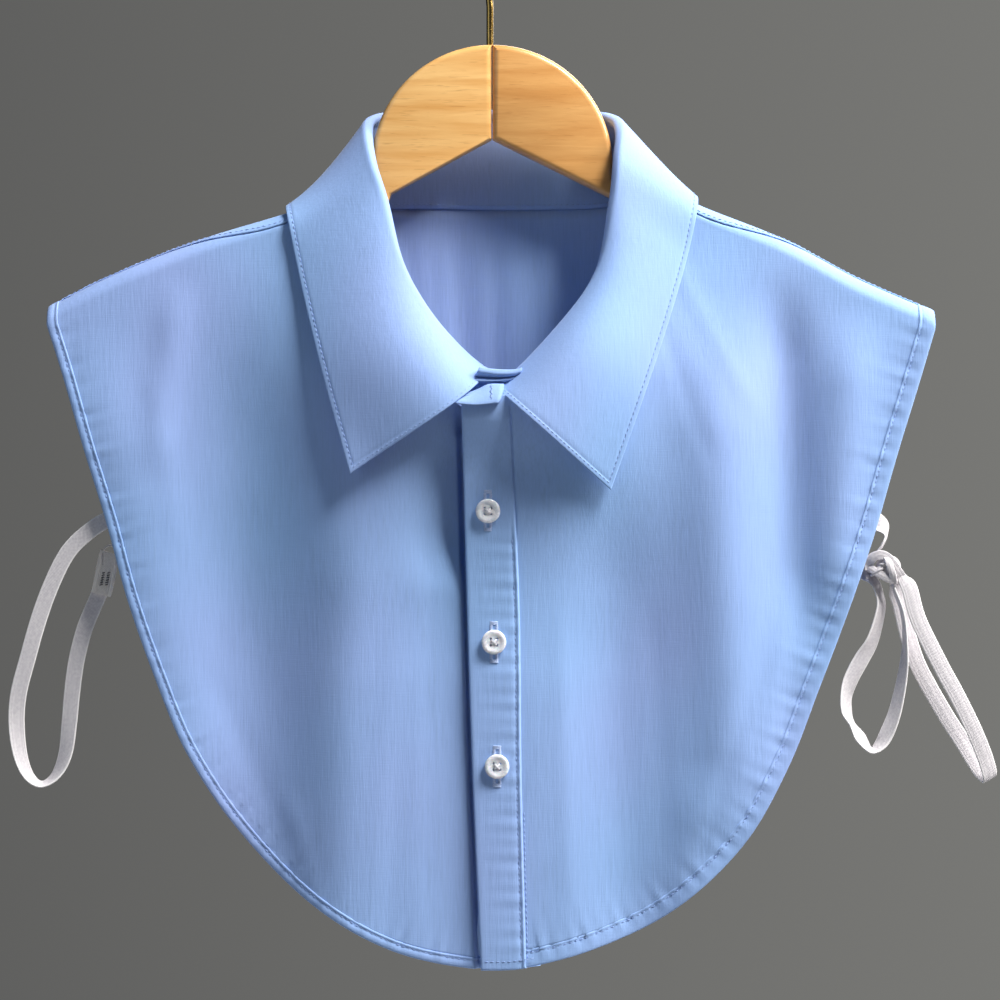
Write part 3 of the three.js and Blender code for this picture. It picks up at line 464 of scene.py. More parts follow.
class Outline:
    """A panel's outline, with places set in from it. Its tips keep to the shoulder's round."""

    def __init__(self, points, turn, tips):
        self.line = smooth_line(points, 40)
        self.length = lengths(self.line)[-1]
        self.way = unit(np.gradient(self.line, axis=0))
        self.turn = turn
        self.tips = tips

    def __call__(self, t, inset=0.0):
        t, inset = np.broadcast_arrays(np.asarray(t, float), inset)
        at = along(self.line, self.line, t.ravel() * self.length).reshape(*t.shape, 2)
        way = along(self.line, self.way, t.ravel() * self.length).reshape(*t.shape, 2)
        x = at[..., 0] - self.turn * way[..., 1] * inset
        z = at[..., 1] + self.turn * way[..., 0] * inset
        tip = np.isin(t, self.tips)
        return np.stack([x, np.where(tip, ridge(x) - SHOULDER_RADIUS, z)], -1)


def coons(top, bottom, left, right, u, v):
    """A patch between four edges: top and bottom are points at u across, left and right at v down."""
    u, v = u[None, :, None], v[:, None, None]
    across = lerp(left[:, None], right[:, None], u)
    down = lerp(top[None], bottom[None], v)
    corners = lerp(lerp(top[0], bottom[0], v), lerp(top[-1], bottom[-1], v), u)
    return across + down - corners


# Meshes

def quads_of(rows, columns, start=0):
    index = start + np.arange(rows * columns).reshape(rows, columns)
    return np.stack([index[:-1, :-1], index[:-1, 1:], index[1:, 1:], index[1:, :-1]], -1).reshape(-1, 4)


def vertex_normals(points, quads):
    a, b, c, d = (points[quads[:, k]] for k in range(4))
    face = np.cross(c - a, d - b)
    total = np.zeros_like(points)
    for k in range(4):
        np.add.at(total, quads[:, k], face)
    return unit(total)


def shell(grids, halves):
    """A closed wall about the middle surface of some grids of points that share their edges.
    halves is half the wall's thickness: a number, or an array for each grid."""
    points, thick, quads, start = [], [], [], 0
    for k, grid in enumerate(grids):
        rows, columns = grid.shape[:2]
        half = halves[k] if isinstance(halves, list) else halves
        quads.append(quads_of(rows, columns, start))
        points.append(grid.reshape(-1, 3))
        thick.append(np.broadcast_to(half, (rows, columns)).ravel())
        start += rows * columns
    points, thick, quads = np.vstack(points), np.concatenate(thick), np.vstack(quads)
    _, first, same = np.unique(np.round(points, 3), axis=0, return_index=True, return_inverse=True)
    points, thick, quads = points[first], thick[first], same.reshape(-1)[quads]
    normals = vertex_normals(points, quads)
    total = len(points)
    edges = np.stack([quads, np.roll(quads, -1, axis=1)], -1).reshape(-1, 2)
    edges = edges[edges[:, 0] != edges[:, 1]]
    keys = edges[:, 0] * total + edges[:, 1]
    open_edges = edges[~np.isin(keys, edges[:, 1] * total + edges[:, 0])]
    walls = np.stack([
        open_edges[:, 1], open_edges[:, 0], open_edges[:, 0] + total, open_edges[:, 1] + total,
    ], -1)
    offset = normals * thick[:, None]
    vertices = np.vstack([points + offset, points - offset])
    return vertices, np.vstack([quads, quads[:, ::-1] + total, walls]).tolist()


def tube(rings):
    """Rings of points, rows x ring x 3, joined into a closed tube."""
    rows, ring = rings.shape[:2]
    index = np.arange(rows * ring).reshape(rows, ring)
    turned = np.roll(index, -1, axis=1)
    sides = np.stack([index[:-1], turned[:-1], turned[1:], index[1:]], -1).reshape(-1, 4)
    return rings.reshape(-1, 3), sides.tolist() + [index[0].tolist(), index[-1][::-1].tolist()]


def joined(parts):
    """Several lots of vertices and faces as one."""
    vertices, faces, start = [], [], 0
    for points, some in parts:
        vertices.append(points)
        faces += [[start + i for i in face] for face in some]
        start += len(points)
    return np.vstack(vertices), faces


def add_object(name, data):
    """A new object that holds this mesh, curve, camera or light, in the scene."""
    made_object = bpy.data.objects.new(name, data)
    bpy.context.scene.collection.objects.link(made_object)
    return made_object


def mesh_object(name, made, weld=0.0):
    """An object from vertices in millimetres and faces, which are turned outward."""
    vertices, faces = made
    mesh = bpy.data.meshes.new(name)
    mesh.from_pydata((np.asarray(vertices) * MM).tolist(), [], faces)
    work = bmesh.new()
    work.from_mesh(mesh)
    if weld:
        bmesh.ops.remove_doubles(work, verts=work.verts, dist=weld * MM)
    bmesh.ops.recalc_face_normals(work, faces=work.faces)
    work.to_mesh(mesh)
    work.free()
    return add_object(name, mesh)


def piece(name, made, material, replaces=()):
    """A smooth object of the part, with its material and the solids it stands for."""
    made_object = mesh_object(name, made, WELD)
    mesh = made_object.data
    mesh.polygons.foreach_set("use_smooth", [True] * len(mesh.polygons))
    mesh.materials.append(material)
    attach(made_object, BODY)
    if replaces:
        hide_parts(*replaces)
    return made_object


RING = np.linspace(0, 2 * np.pi, 6, endpoint=False)
# Where the rings of a stitch are along it, how thick it is there and how high it stands.
STITCH_RINGS = table(("at", "thick", "height"), [
    (-0.5, 0.45, -0.28),
    (-0.36, 0.95, -0.02),
    (0, 1.0, 0.1),
    (0.36, 0.95, -0.02),
    (0.5, 0.45, -0.28),
])


def bars(centres, ways, ups, length, radius=THREAD_RADIUS):
    """Short lengths of thread, each sunk at both ends. ways and ups are one for all or one for each."""
    ways, ups = (unit(np.broadcast_to(v, centres.shape)) for v in (ways, ups))
    sides = np.cross(ways, ups)
    made = []
    for row in STITCH_RINGS:
        middle = centres + ways * row["at"] * length + ups * row["height"]
        ring = np.cos(RING)[None, :, None] * sides[:, None] + np.sin(RING)[None, :, None] * ups[:, None]
        made.append(middle[:, None] + ring * radius * row["thick"])
    rings = np.stack(made, 1)
    return joined([tube(one) for one in rings])


def stitches(line, ups, pitch=STITCH_PITCH, length=STITCH_LENGTH):
    """A row of stitches along a line that lies on cloth facing up."""
    total = lengths(line)[-1]
    at = np.arange(pitch / 2, total, pitch)
    at = at + rng.uniform(-0.1, 0.1, len(at))
    centres = along(line, line, at)
    ways = along(line, line, at + 0.3) - along(line, line, at - 0.3)
    sideways = np.cross(unit(ways), along(line, ups, at))
    ways = unit(ways) + sideways * rng.normal(0, 0.05, (len(at), 1))
    return bars(centres, ways, along(line, ups, at), length)


def normals_beside(grid):
    """Unit normals of a grid of points."""
    return unit(np.cross(np.gradient(grid, axis=0), np.gradient(grid, axis=1)))


# Materials

class Shader:
    """The node tree of a material or a world, with the shader that it ends in."""

    def __init__(self, owner, kind="BSDF_PRINCIPLED"):
        owner.use_nodes = True
        self.material = owner
        self.nodes = owner.node_tree.nodes
        self.links = owner.node_tree.links
        self.surface = next(n for n in self.nodes if n.type == kind)

    def set(self, **values):
        for name, value in values.items():
            self.surface.inputs[name.replace("_", " ")].default_value = value

    def node(self, kind, inputs=(), **settings):
        made = self.nodes.new(kind)
        for name, value in settings.items():
            setattr(made, name, value)
        for name, value in dict(inputs).items():
            if isinstance(value, bpy.types.NodeSocket):
                self.links.new(value, made.inputs[name])
            else:
                made.inputs[name].default_value = value
        return made

    def place(self, scale, turn=(0, 0, 0)):
        """Places on the object, stretched by scale, in waves for each metre."""
        where = self.node("ShaderNodeTexCoord").outputs["Object"]
        mapped = self.node("ShaderNodeMapping", {"Vector": where, "Scale": scale, "Rotation": turn})
        return mapped.outputs["Vector"]

    def noise(self, scale, detail=2.0, roughness=0.5, distortion=0.0, turn=(0, 0, 0)):
        inputs = {
            "Vector": self.place(scale, turn), "Scale": 1.0, "Detail": detail,
            "Roughness": roughness, "Distortion": distortion,
        }
        return self.node("ShaderNodeTexNoise", inputs).outputs["Fac"]

    def spread(self, value, low, high, to_low=0.0, to_high=1.0):
        inputs = {"Value": value, "From Min": low, "From Max": high, "To Min": to_low, "To Max": to_high}
        return self.node("ShaderNodeMapRange", inputs).outputs["Result"]

    def maths(self, operation, a, b):
        return self.node("ShaderNodeMath", {0: a, 1: b}, operation=operation).outputs[0]

    def mix(self, factor, a, b, blend="MIX"):
        inputs = {0: factor, 6: a, 7: b}
        return self.node("ShaderNodeMix", inputs, data_type="RGBA", blend_type=blend).outputs[2]

    def shaded(self, colour, tone):
        """A colour made darker or lighter by a tone about 1."""
        grey = self.node("ShaderNodeCombineColor", {k: tone for k in range(3)})
        return self.mix(1.0, colour, grey.outputs[0], "MULTIPLY")

    def bump(self, height, distance, strength=1.0, under=None):
        inputs = {"Height": height, "Distance": distance * MM, "Strength": strength}
        if under is not None:
            inputs["Normal"] = under
        return self.node("ShaderNodeBump", inputs).outputs["Normal"]

    def wire(self, socket, output):
        self.links.new(output, self.surface.inputs[socket])


def linear(red, green, blue):
    """A colour from 0 to 255 as the screen shows it, as linear light."""
    def one(value):
        value = value / 255
        return value / 12.92 if value <= 0.04045 else ((value + 0.055) / 1.055) ** 2.4
    return (one(red), one(green), one(blue), 1.0)


def poplin(name, azure, periwinkle):
    """Fine cotton with slubs along its warp and a hue that drifts between two blues."""
    shader = Shader(bpy.data.materials.new(name))
    drift = shader.spread(shader.noise((13, 13, 8), detail=1.0), 0.3, 0.7)
    hue = shader.mix(drift, azure, periwinkle)
    warp = shader.noise((1500, 1500, 80), detail=3.0, roughness=0.6)
    slub = shader.noise((760, 760, 62), detail=3.0, roughness=0.6)
    cluster = shader.spread(shader.noise((60, 60, 34), detail=1.0), 0.42, 0.68)
    weft = shader.noise((150, 150, 1900), detail=2.0)
    shade = shader.spread(warp, 0.3, 0.7, 0.965, 1.03)
    streak = shader.spread(slub, 0.46, 0.7, 0.0, 0.085)
    thick = shader.maths("SUBTRACT", 1.015, shader.maths("MULTIPLY", streak, cluster))
    shader.wire("Base Color", shader.shaded(hue, shader.maths("MULTIPLY", shade, thick)))
    threads = shader.maths("ADD", shader.maths("MULTIPLY", warp, 0.6), shader.maths("MULTIPLY", weft, 0.4))
    fine = shader.bump(threads, 0.2, 0.4)
    shader.wire("Normal", shader.bump(slub, 0.3, 0.35, fine))
    shader.set(Roughness=0.85, Sheen_Weight=0.12, Sheen_Roughness=0.45, Specular_IOR_Level=0.18)
    return shader.material


def elastic(name, pale, dark):
    """White woven elastic: fine rows of stitches between its cords, and plain selvedges."""
    shader = Shader(bpy.data.materials.new(name))
    cut = shader.node("ShaderNodeAttribute", {}, attribute_name="cut").outputs["Vector"]
    parts = shader.node("ShaderNodeSeparateXYZ", {"Vector": cut})
    waves = [
        shader.maths("SINE", shader.maths("MULTIPLY", parts.outputs[axis], 2 * math.pi / pitch), 0.0)
        for axis, pitch in (("X", 0.8), ("Y", 0.9))
    ]
    inner = shader.spread(shader.maths("ABSOLUTE", parts.outputs["Y"], 0.0), 2.85, 3.2, 1.0, 0.0)
    dots = shader.maths("MULTIPLY", shader.maths("MULTIPLY", *waves), inner)
    speck = shader.spread(shader.noise((900, 900, 900), detail=2.0), 0.32, 0.68, 0.0, 0.75)
    tone = shader.maths("ADD", shader.spread(dots, -1, 1, 0.0, 0.5), shader.maths("MULTIPLY", speck, 0.5))
    shade = shader.maths("MULTIPLY", inner, shader.maths("SUBTRACT", 1.0, tone))
    shader.wire("Base Color", shader.mix(shade, pale, dark))
    shader.wire("Normal", shader.bump(dots, 0.1, 0.4))
    shader.set(Roughness=0.72, Sheen_Weight=0.15, Sheen_Roughness=0.5)
    return shader.material


def thread(name, colour):
    """Spun sewing thread."""
    shader = Shader(bpy.data.materials.new(name))
    twist = shader.noise((2600, 2600, 2600), detail=1.0)
    shader.wire("Base Color", shader.shaded(colour, shader.spread(twist, 0.3, 0.7, 0.88, 1.06)))
    shader.wire("Normal", shader.bump(twist, 0.08, 0.5))
    shader.set(Roughness=0.6, Sheen_Weight=0.1)
    return shader.material


def pearl(name):
    """Pale shell: cloudy patches with a faint rose and blue."""
    shader = Shader(bpy.data.materials.new(name))
    clouds = shader.noise((260, 260, 420), detail=3.0, roughness=0.65, distortion=1.6)
    streaks = shader.noise((520, 520, 120), detail=2.0, distortion=2.4)
    colour = shader.mix(shader.spread(clouds, 0.35, 0.65), linear(206, 212, 224), linear(250, 250, 252))
    colour = shader.mix(shader.spread(streaks, 0.52, 0.74, 0.0, 0.55), colour, linear(232, 216, 218))
    shader.wire("Base Color", colour)
    shader.wire("Roughness", shader.spread(clouds, 0.3, 0.7, 0.1, 0.24))
    shader.wire("Normal", shader.bump(streaks, 0.12, 0.25))
    shader.set(Coat_Weight=0.6, Coat_Roughness=0.06, Subsurface_Weight=0.12, Subsurface_Scale=0.002)
    return shader.material


def timber(name, turn, pale, deep):
    """Pale hardwood with long soft grain along one arm and short pores."""
    shader = Shader(bpy.data.materials.new(name))
    grain = shader.noise((14, 30, 150), detail=4.0, roughness=0.6, distortion=0.35, turn=turn)
    rings = shader.noise((5, 12, 46), detail=2.0, distortion=0.8, turn=turn)
    pores = shader.noise((130, 900, 1500), detail=2.0, turn=turn)
    colour = shader.mix(shader.spread(grain, 0.34, 0.66), deep, pale)
    colour = shader.mix(shader.spread(rings, 0.4, 0.66, 0.0, 0.5), colour, linear(228, 166, 96))
    colour = shader.mix(shader.spread(pores, 0.62, 0.74, 0.0, 0.35), colour, linear(176, 116, 60))
    shader.wire("Base Color", colour)
    shader.wire("Roughness", shader.spread(grain, 0.3, 0.7, 0.3, 0.42))
    shader.wire("Normal", shader.bump(shader.maths("ADD", grain, pores), 0.12, 0.3))
    shader.set(Coat_Weight=0.35, Coat_Roughness=0.18)
    return shader.material


def wire_brass(name):
    """Drawn brass wire, a little dulled."""
    shader = Shader(bpy.data.materials.new(name))
    drawn = shader.noise((900, 900, 40), detail=2.0)
    dull = shader.noise((60, 60, 60), detail=3.0)
    colour = shader.mix(shader.spread(dull, 0.35, 0.7), linear(214, 178, 104), linear(172, 132, 66))
    shader.wire("Base Color", colour)
    shader.wire("Roughness", shader.spread(drawn, 0.3, 0.7, 0.2, 0.36))
    shader.wire("Normal", shader.bump(drawn, 0.05, 0.4))
    shader.set(Metallic=1.0)
    return shader.material


AZURE = linear(144, 179, 228)
PERIWINKLE = linear(152, 174, 226)
cloth = poplin("cloth", AZURE, PERIWINKLE)
tape_cloth = elastic("tape", linear(236, 232, 232), linear(192, 186, 193))
# A copy of the tape painted paler than the rest of the tape: painted light where the front shades the
# doubled end.
doubled_tape_painted_light = elastic("tape_doubled_painted_light", linear(244, 238, 230), linear(214, 206, 200))
grey_thread = thread("grey_thread", linear(96, 92, 92))
# Thread of the cloth's blue, a little darker than the cloth: painted shade of the dimples that the stitches
# sink into.
cloth_thread_painted_shade = thread("thread", linear(146, 170, 220))
pale_thread = thread("pale_thread", linear(190, 208, 244))
white_thread = thread("white_thread", linear(238, 238, 244))
shell_white = pearl("shell")
brass = wire_brass("brass")


# Camera, lights and floor

LIGHT_DISTANCE = 1900
LIT_PLACE = (0, 0, -280)
# Each light's name, way, size, power and colour.
LIGHTS = [
    ("key", (52, 54), 620, 61, (1.0, 0.985, 0.955)),
    ("window", (82, 34), 800, 44, (1.0, 0.99, 0.97)),
    ("fill", (-50, 22), 1500, 6, (0.74, 0.88, 1.0)),
    ("back", (160, 30), 1200, 20, (1.0, 1.0, 1.0)),
]
ROOM_LIGHT = (0.009, 0.015, 0.029, 1.0)
# The wall behind: painted shade on the left, painted light on the right.
WALL_PAINTED_SHADE_LEFT = linear(93, 93, 92)
WALL_PAINTED_LIGHT_RIGHT = linear(122, 122, 119)
WALL_REACH = 0.14  # X of a direction in which the wall has its colour at the picture's side
FLOOR_REACH = 2600
FLOOR_Z = -1500


def make_camera():
    data = bpy.data.cameras.new("camera")
    data.sensor_width = SENSOR
    data.lens = SENSOR * CAMERA_DISTANCE / PICTURE_WIDTH
    data.clip_start, data.clip_end = 0.05, 50
    camera = add_object("camera", data)
    x, z = PICTURE_CENTRE
    camera.location = Vector((x, -CAMERA_DISTANCE, z)) * MM
    camera.rotation_euler = (math.pi / 2, 0, 0)
    bpy.context.scene.camera = camera


def make_light(name, way, size, power, colour):
    """A soft square light that faces the middle of the collar. way is its angle to the right of the
    camera's axis and its height, in degrees."""
    data = bpy.data.lights.new(name, "AREA")
    data.shape = "SQUARE"
    data.size = size * MM
    data.energy = power
    data.color = colour
    light = add_object(name, data)
    aside, up = (math.radians(angle) for angle in way)
    toward = Vector((math.sin(aside) * math.cos(up), -math.cos(aside) * math.cos(up), math.sin(up)))
    light.location = (toward * LIGHT_DISTANCE + Vector(LIT_PLACE)) * MM
    light.rotation_mode = "QUATERNION"
    light.rotation_quaternion = (-toward).to_track_quat("-Z", "Y")


def make_world():
    """A grey room that gives the cloth only weak blue light. The wall that the camera sees is painted darker
    on the left and lighter on the right: painted shade and painted light.
    """
    world = bpy.data.worlds.new("room")
    bpy.context.scene.world = world
    room = Shader(world, "BACKGROUND")
    way = room.node("ShaderNodeTexCoord").outputs["Generated"]
    across = room.node("ShaderNodeSeparateXYZ", {0: way}).outputs["X"]
    wall = room.mix(room.spread(across, -WALL_REACH, WALL_REACH), WALL_PAINTED_SHADE_LEFT, WALL_PAINTED_LIGHT_RIGHT)
    seen = room.node("ShaderNodeLightPath").outputs["Is Camera Ray"]
    room.wire("Color", room.mix(seen, ROOM_LIGHT, wall))
    room.set(Strength=1.0)


def make_floor():
    """A pale floor, well below the hanging collar."""
    corners = [(x * FLOOR_REACH, y * FLOOR_REACH, FLOOR_Z) for x, y in ((-1, -1), (1, -1), (1, 1), (-1, 1))]
    mesh = bpy.data.meshes.new("floor")
    mesh.from_pydata([tuple(v * MM for v in corner) for corner in corners], [], [(0, 1, 2, 3)])
    shader = Shader(bpy.data.materials.new("floor"))
    tone = shader.spread(shader.noise((3, 3, 3)), 0.3, 0.7)
    shader.wire("Base Color", shader.mix(tone, linear(196, 196, 196), linear(206, 206, 206)))
    shader.set(Roughness=0.8)
    mesh.materials.append(shader.material)
    floor = add_object("floor", mesh)


make_camera()
make_world()
make_floor()
for light in LIGHTS:
    make_light(*light)
bpy.context.scene.view_settings.view_transform = "Standard"


# Fronts, back and hems

CORNER = 0.64  # share of a front's outline that its side takes
BACK_CORNER = 0.33  # share of the back's outline that each side takes
BACK_NECK = 0.34  # share of the back's width on each side of the neck
NECK_ROWS = 6 / 17  # share of a front's rows beside the neck
NECK_ENDS = {
    "left": (NAMES.index("left collarbone"), 0.35),
    "right": (NAMES.index("right collarbone"), len(COLLAR) - 2.25),
}
HEM_UNDER = 1.2  # how far the panel runs into its hem
HEM_FLAT = {"left": 0.9, "right": 0.5, "back": 0.9}  # height of each hem near the bottom
HEM_STEP = 0.78
FRONT_LAYER = 0.6  # how far the front lies below the back where it runs under the seam
HEM_STITCH_INSET = 1.5  # from the hem's inner edge
HEM_STITCH_HEIGHT = 0.42
PUCKER_DEPTH = 0.28
PUCKER_REACH = 5.5
DIMPLE_DEPTH = 0.12
SEAM_STITCH_HEIGHT = 0.7
UNDER_SEAM = 7  # degrees that the front runs under the forward seam
SEAM_STITCH_ANGLE = 11  # degrees of the seam's stitches behind it
UNDER_STRIP = 2.7  # how far the right front's turned edge shows beside the placket, low down

# Section of a hem, from its outer fold to its inner edge and back behind: share of the width or,
# where it is negative, distance before the inner edge, and height over the middle of the cloth.
HEM_FRONT = [
    (0.0, 0.0), (0.1, 0.32), (0.35, 0.55), (0.9, 0.72), (1.9, 0.78), (-2.6, 0.7), (-1.9, 0.52),
    (-1.5, 0.34), (-1.1, 0.56), (-0.6, 0.74), (-0.15, 0.6), (0.05, 0.3),
]
HEM_BEHIND = [
    (0.0, -0.3), (-0.5, -0.62), (-1.5, -0.55), (-2.6, -0.72), (1.6, -0.72), (0.6, -0.6), (0.15, -0.35),
]


def hem_profile(width):
    """Distances in from the outer fold and heights, all round a hem's section."""
    front = [(width + s if s < 0 or s == 0.05 else s, h) for s, h in HEM_FRONT]
    behind = [(width + s if s < 0 or i == 0 else s, h) for i, (s, h) in enumerate(HEM_BEHIND)]
    return np.array(front + behind)


def pucker(s):
    """Uneven gathering along a sewn edge, within 1.5 of none, from the distance along it."""
    short = 0.6 * np.sin(2 * np.pi * s / 7.3)
    return short + 0.5 * np.sin(2 * np.pi * s / 11.9 + 1.3) + 0.4 * np.sin(s / 4.1)


class Panel:
    """A panel with its outline, its hem and its patch between them."""

    def __init__(self, side, outline):
        self.side = side
        self.outline = outline
        self.width = HEM_WIDTH[side]

    def angles(self, x):
        """Degrees in front of the ridge, from the forward seam down to the panel, for each x."""
        if self.side == "back":
            return lerp(seam_angle(x)[None], -90.0, np.linspace(0, 1, 26)[:, None])
        return lerp(seam_angle(x)[None] - UNDER_SEAM, 90.0, np.linspace(0, 1, 14)[:, None])

    def settle(self, grid, flat):
        """Draws the cloth near the hem into slight puckers."""
        edge = self.outline.line[::4]
        gap = np.full(flat.shape[:2], 1e9)
        at = np.zeros(flat.shape[:2])
        for s, place in zip(lengths(edge), edge):
            far = np.hypot(flat[..., 0] - place[0], flat[..., 1] - place[1])
            nearer = far < gap
            gap[nearer], at[nearer] = far[nearer], s
        inward = np.clip(gap - self.width, 0, None)
        away = PUCKER_DEPTH * np.exp(-inward / PUCKER_REACH) * pucker(at)
        return grid + facing(self.side, flat[..., 0], flat[..., 1]) * away[..., None]

    def hem(self, ends):
        """The hem's rings, and its line of stitches. ends is 1 for one shoulder tip, 2 for both."""
        profile = hem_profile(self.width)
        count = int(self.outline.length / HEM_STEP)
        ts = np.linspace(0, 1, count + 1)
        inner = ts[1:] if ends == 1 else ts[1:-1]
        s, h = profile[:, 0], profile[:, 1]
        flat = self.outline(inner[:, None], s[None, :])
        distance = inner * self.outline.length
        rise = lerp(1, HEM_FLAT[self.side], smoothstep(inner, 0.3, 0.75))
        middle = self.width - HEM_STITCH_INSET
        near = np.exp(-((s - middle) / 0.5) ** 2) * (h > 0)
        dimple = -DIMPLE_DEPTH * near[None] * np.cos(2 * np.pi * distance / STITCH_PITCH)[:, None]
        gather = PUCKER_DEPTH * pucker(distance)[:, None] * smoothstep(s, 0.5, self.width)[None]
        rings = on_panel(self.side, flat, h[None] * rise[:, None] + dimple + gather)
        cap = self.cap_rings(0.0, s, h)
        parts = [cap, rings] if ends == 1 else [cap, rings, self.cap_rings(1.0, s, h)[::-1]]
        places = self.outline(inner, middle)
        line = on_panel(self.side, places, HEM_STITCH_HEIGHT * rise)
        ups = facing(self.side, *np.moveaxis(places, -1, 0))
        return np.concatenate(parts), line, ups

    def cap_rings(self, t, s, h):
        x = self.outline(np.full(len(s), t), s)[:, 0]
        return over_shoulder(x[None, :], self.angles(x), h[None, :])


def front_panel(side):
    """A front: its patch, its shoulder cap and its hem."""
    turn = 1 if side == "left" else -1
    panel = Panel(side, Outline(OUTLINE[side], turn, [0.0]))
    inset = panel.width - HEM_UNDER
    start, end = NECK_ENDS[side]
    u = np.concatenate([np.linspace(0, 0.8, 72), np.linspace(0.8, 1, 52)[1:]])
    v = np.linspace(0, 1, 150)
    tip = panel.outline(0.0, inset)
    x = lerp(tip[0], seam_at(start)[0], u)
    top = np.stack([x, ridge(x) - SHOULDER_RADIUS], -1)
    share = np.clip(v / NECK_ROWS, 0, 1)
    beside = neck_edge(lerp(start, end, share), 1)
    if side == "left":
        beside[:, 1] -= TUCK * smoothstep(beside[:, 0], *TUCK_START_X)
    beside[0] = top[-1]
    bottom_end = panel.outline(1.0, inset)
    down = np.clip((v - NECK_ROWS) / (1 - NECK_ROWS), 0, 1)[:, None]
    right = np.where(v[:, None] <= NECK_ROWS, beside, lerp(beside[-1], bottom_end, down))
    if side == "right":
        low = -right[:, 1]
        right[:, 0] -= UNDER_STRIP * smoothstep(low, *STRIP_START) * (1 - 0.5 * smoothstep(low, *STRIP_FADE))
    left = panel.outline(v * CORNER, inset)
    bottom = panel.outline(lerp(CORNER, 1, u), inset)
    bottom[-1] = right[-1]
    flat = coons(top, bottom, left, right, u, v)
    grid = panel.settle(on_panel(side, flat), flat)
    grid[0] = over_shoulder(x, 90.0)
    angles = panel.angles(x)
    lift = -FRONT_LAYER * (1 - smoothstep(angles - seam_angle(x), -2, 8))
    cap = over_shoulder(x[None, :], angles, lift)
    cap[-1] = grid[0]
    return [cap, grid], *panel.hem(1)


def back_panel():
    """The back: its patch, both shoulder caps as far as the forward seam, its hem and the seams."""
    tip = OUTLINE["left"][0][1]
    points = [*OUTLINE["left"][:-2], BACK_MIDDLE, *OUTLINE["right"][:-2][::-1]]
    lowered = [(x * BACK_NARROWER, tip + (z - tip) * BACK_LONGER) for x, z in points]
    panel = Panel("back", Outline(lowered, 1, [0.0, 1.0]))
    inset = panel.width - HEM_UNDER
    corner = BACK_CORNER
    shoulder, neck = 44, 70  # points across each shoulder and across the neck
    places = [NAMES.index("left behind"), NAMES.index("right behind")]
    u = np.concatenate([
        np.linspace(0, BACK_NECK, shoulder),
        np.linspace(BACK_NECK, 1 - BACK_NECK, neck)[1:],
        np.linspace(1 - BACK_NECK, 1, shoulder)[1:],
    ])
    v = np.linspace(0, 1, 120)
    ends = [panel.outline(t, inset)[0] for t in (0.0, 1.0)]
    inner = [seam_at(place)[0] for place in places]
    left_x = lerp(ends[0], inner[0], np.linspace(0, 1, shoulder))
    right_x = lerp(inner[1], ends[1], np.linspace(0, 1, shoulder))
    level = [np.stack([x, ridge(x) - SHOULDER_RADIUS], -1) for x in (left_x, right_x)]
    middle = neck_edge(np.linspace(*places, neck), -1)
    top = np.concatenate([level[0], middle[1:-1], level[1]])
    bottom = panel.outline(lerp(corner, 1 - corner, u), inset)
    left, right = panel.outline(v * corner, inset), panel.outline(1 - v * corner, inset)
    flat = coons(top, bottom, left, right, u, v)
    grid = panel.settle(on_panel("back", flat), flat)
    grid[0] = np.stack([flat[0, :, 0], depth("back", flat[0, :, 0], flat[0, :, 1]), flat[0, :, 1]], -1)
    caps, seams = [], []
    for x, row in ((left_x, grid[0, :shoulder]), (right_x, grid[0, -shoulder:])):
        angles = panel.angles(x)
        above = smoothstep(angles - seam_angle(x), -28, -8)
        cap = over_shoulder(x[None, :], angles, 0.35 * above + 0.12 * above * pucker(1.6 * x))
        cap[-1] = row
        caps.append(cap)
        some = np.linspace(x[0], x[-1], 60)
        behind = seam_angle(some) - SEAM_STITCH_ANGLE
        seam = over_shoulder(some, behind, SEAM_STITCH_HEIGHT)
        seams.append((seam, seam - over_shoulder(some, behind, -5.0)))
    sides = [grid[:, :shoulder], grid[:, shoulder - 1:1 - shoulder], grid[:, -shoulder:]]
    return [caps[0], *sides, caps[1]], *panel.hem(2), seams


for side in ("left", "right"):
    grids, rings, line, ups = front_panel(side)
    body = piece(f"front_{side}_cloth", shell(grids, CLOTH / 2), cloth, [f"front_{side}"])
    hem = piece(f"hem_{side}_fold", tube(rings), cloth, [f"hem_{side}"])
    sewn = piece(f"hem_{side}_stitches", stitches(line, ups), cloth_thread_painted_shade)
grids, rings, line, ups, seams = back_panel()
back_body = piece("back_cloth", shell(grids, CLOTH / 2), cloth, ["back_panel"])
back_hem = piece("hem_back_fold", tube(rings), cloth, ["hem_back"])
back_sewn = piece("hem_back_stitches", stitches(line, ups), cloth_thread_painted_shade)
shoulder_sewn = piece("shoulder_stitches", joined([stitches(*seam) for seam in seams]), cloth_thread_painted_shade)


# Collar

EDGE_STEPS = np.array([0, 0.08, 0.25, 0.5, 0.9, 1.4, 1.85, 2.1, 2.3, 2.5, 2.8, 3.3, 4.2, 5.6])
LIP = [(-0.75, 4.2), (-1.25, 2.4), (-1.35, 1.0), (-0.85, 0.25), (0.0, 0.0), (1.2, 0.2), (2.4, 0.8)]
LEAF_EACH = 29.0  # millimetres to one place in the collar's table, near the leading edges
STAND_EACH = 16  # the same near the tab ends
NEAR_SHARE = 0.22  # where the leaf's curve is pulled outward, from the roll to the edge
FAR_SHARE = 0.66
BEZIER_PLACES = (0.08, 0.16, 0.26, 0.38, 0.5, 0.62, 0.74, 0.87, 1.0)
TOPSTITCH_NIP = 0.38
NIP_WIDTH = 0.42
TOPSTITCH_HEIGHT = 0.42
ROLL_STRIP = 7.5  # the strip over the leaf's roll that has finer rows
STITCHED_FROM = 18  # the topstitching's first column from the seam
STAND_HALF = 0.6
STAND_STITCH_HEIGHT = 0.66
STAND_FROM = 0.1  # above the seam
STAND_TO = 1.9  # below the top of the roll
STAND_BOW = 0.5
TAB_ROUND = 5.0
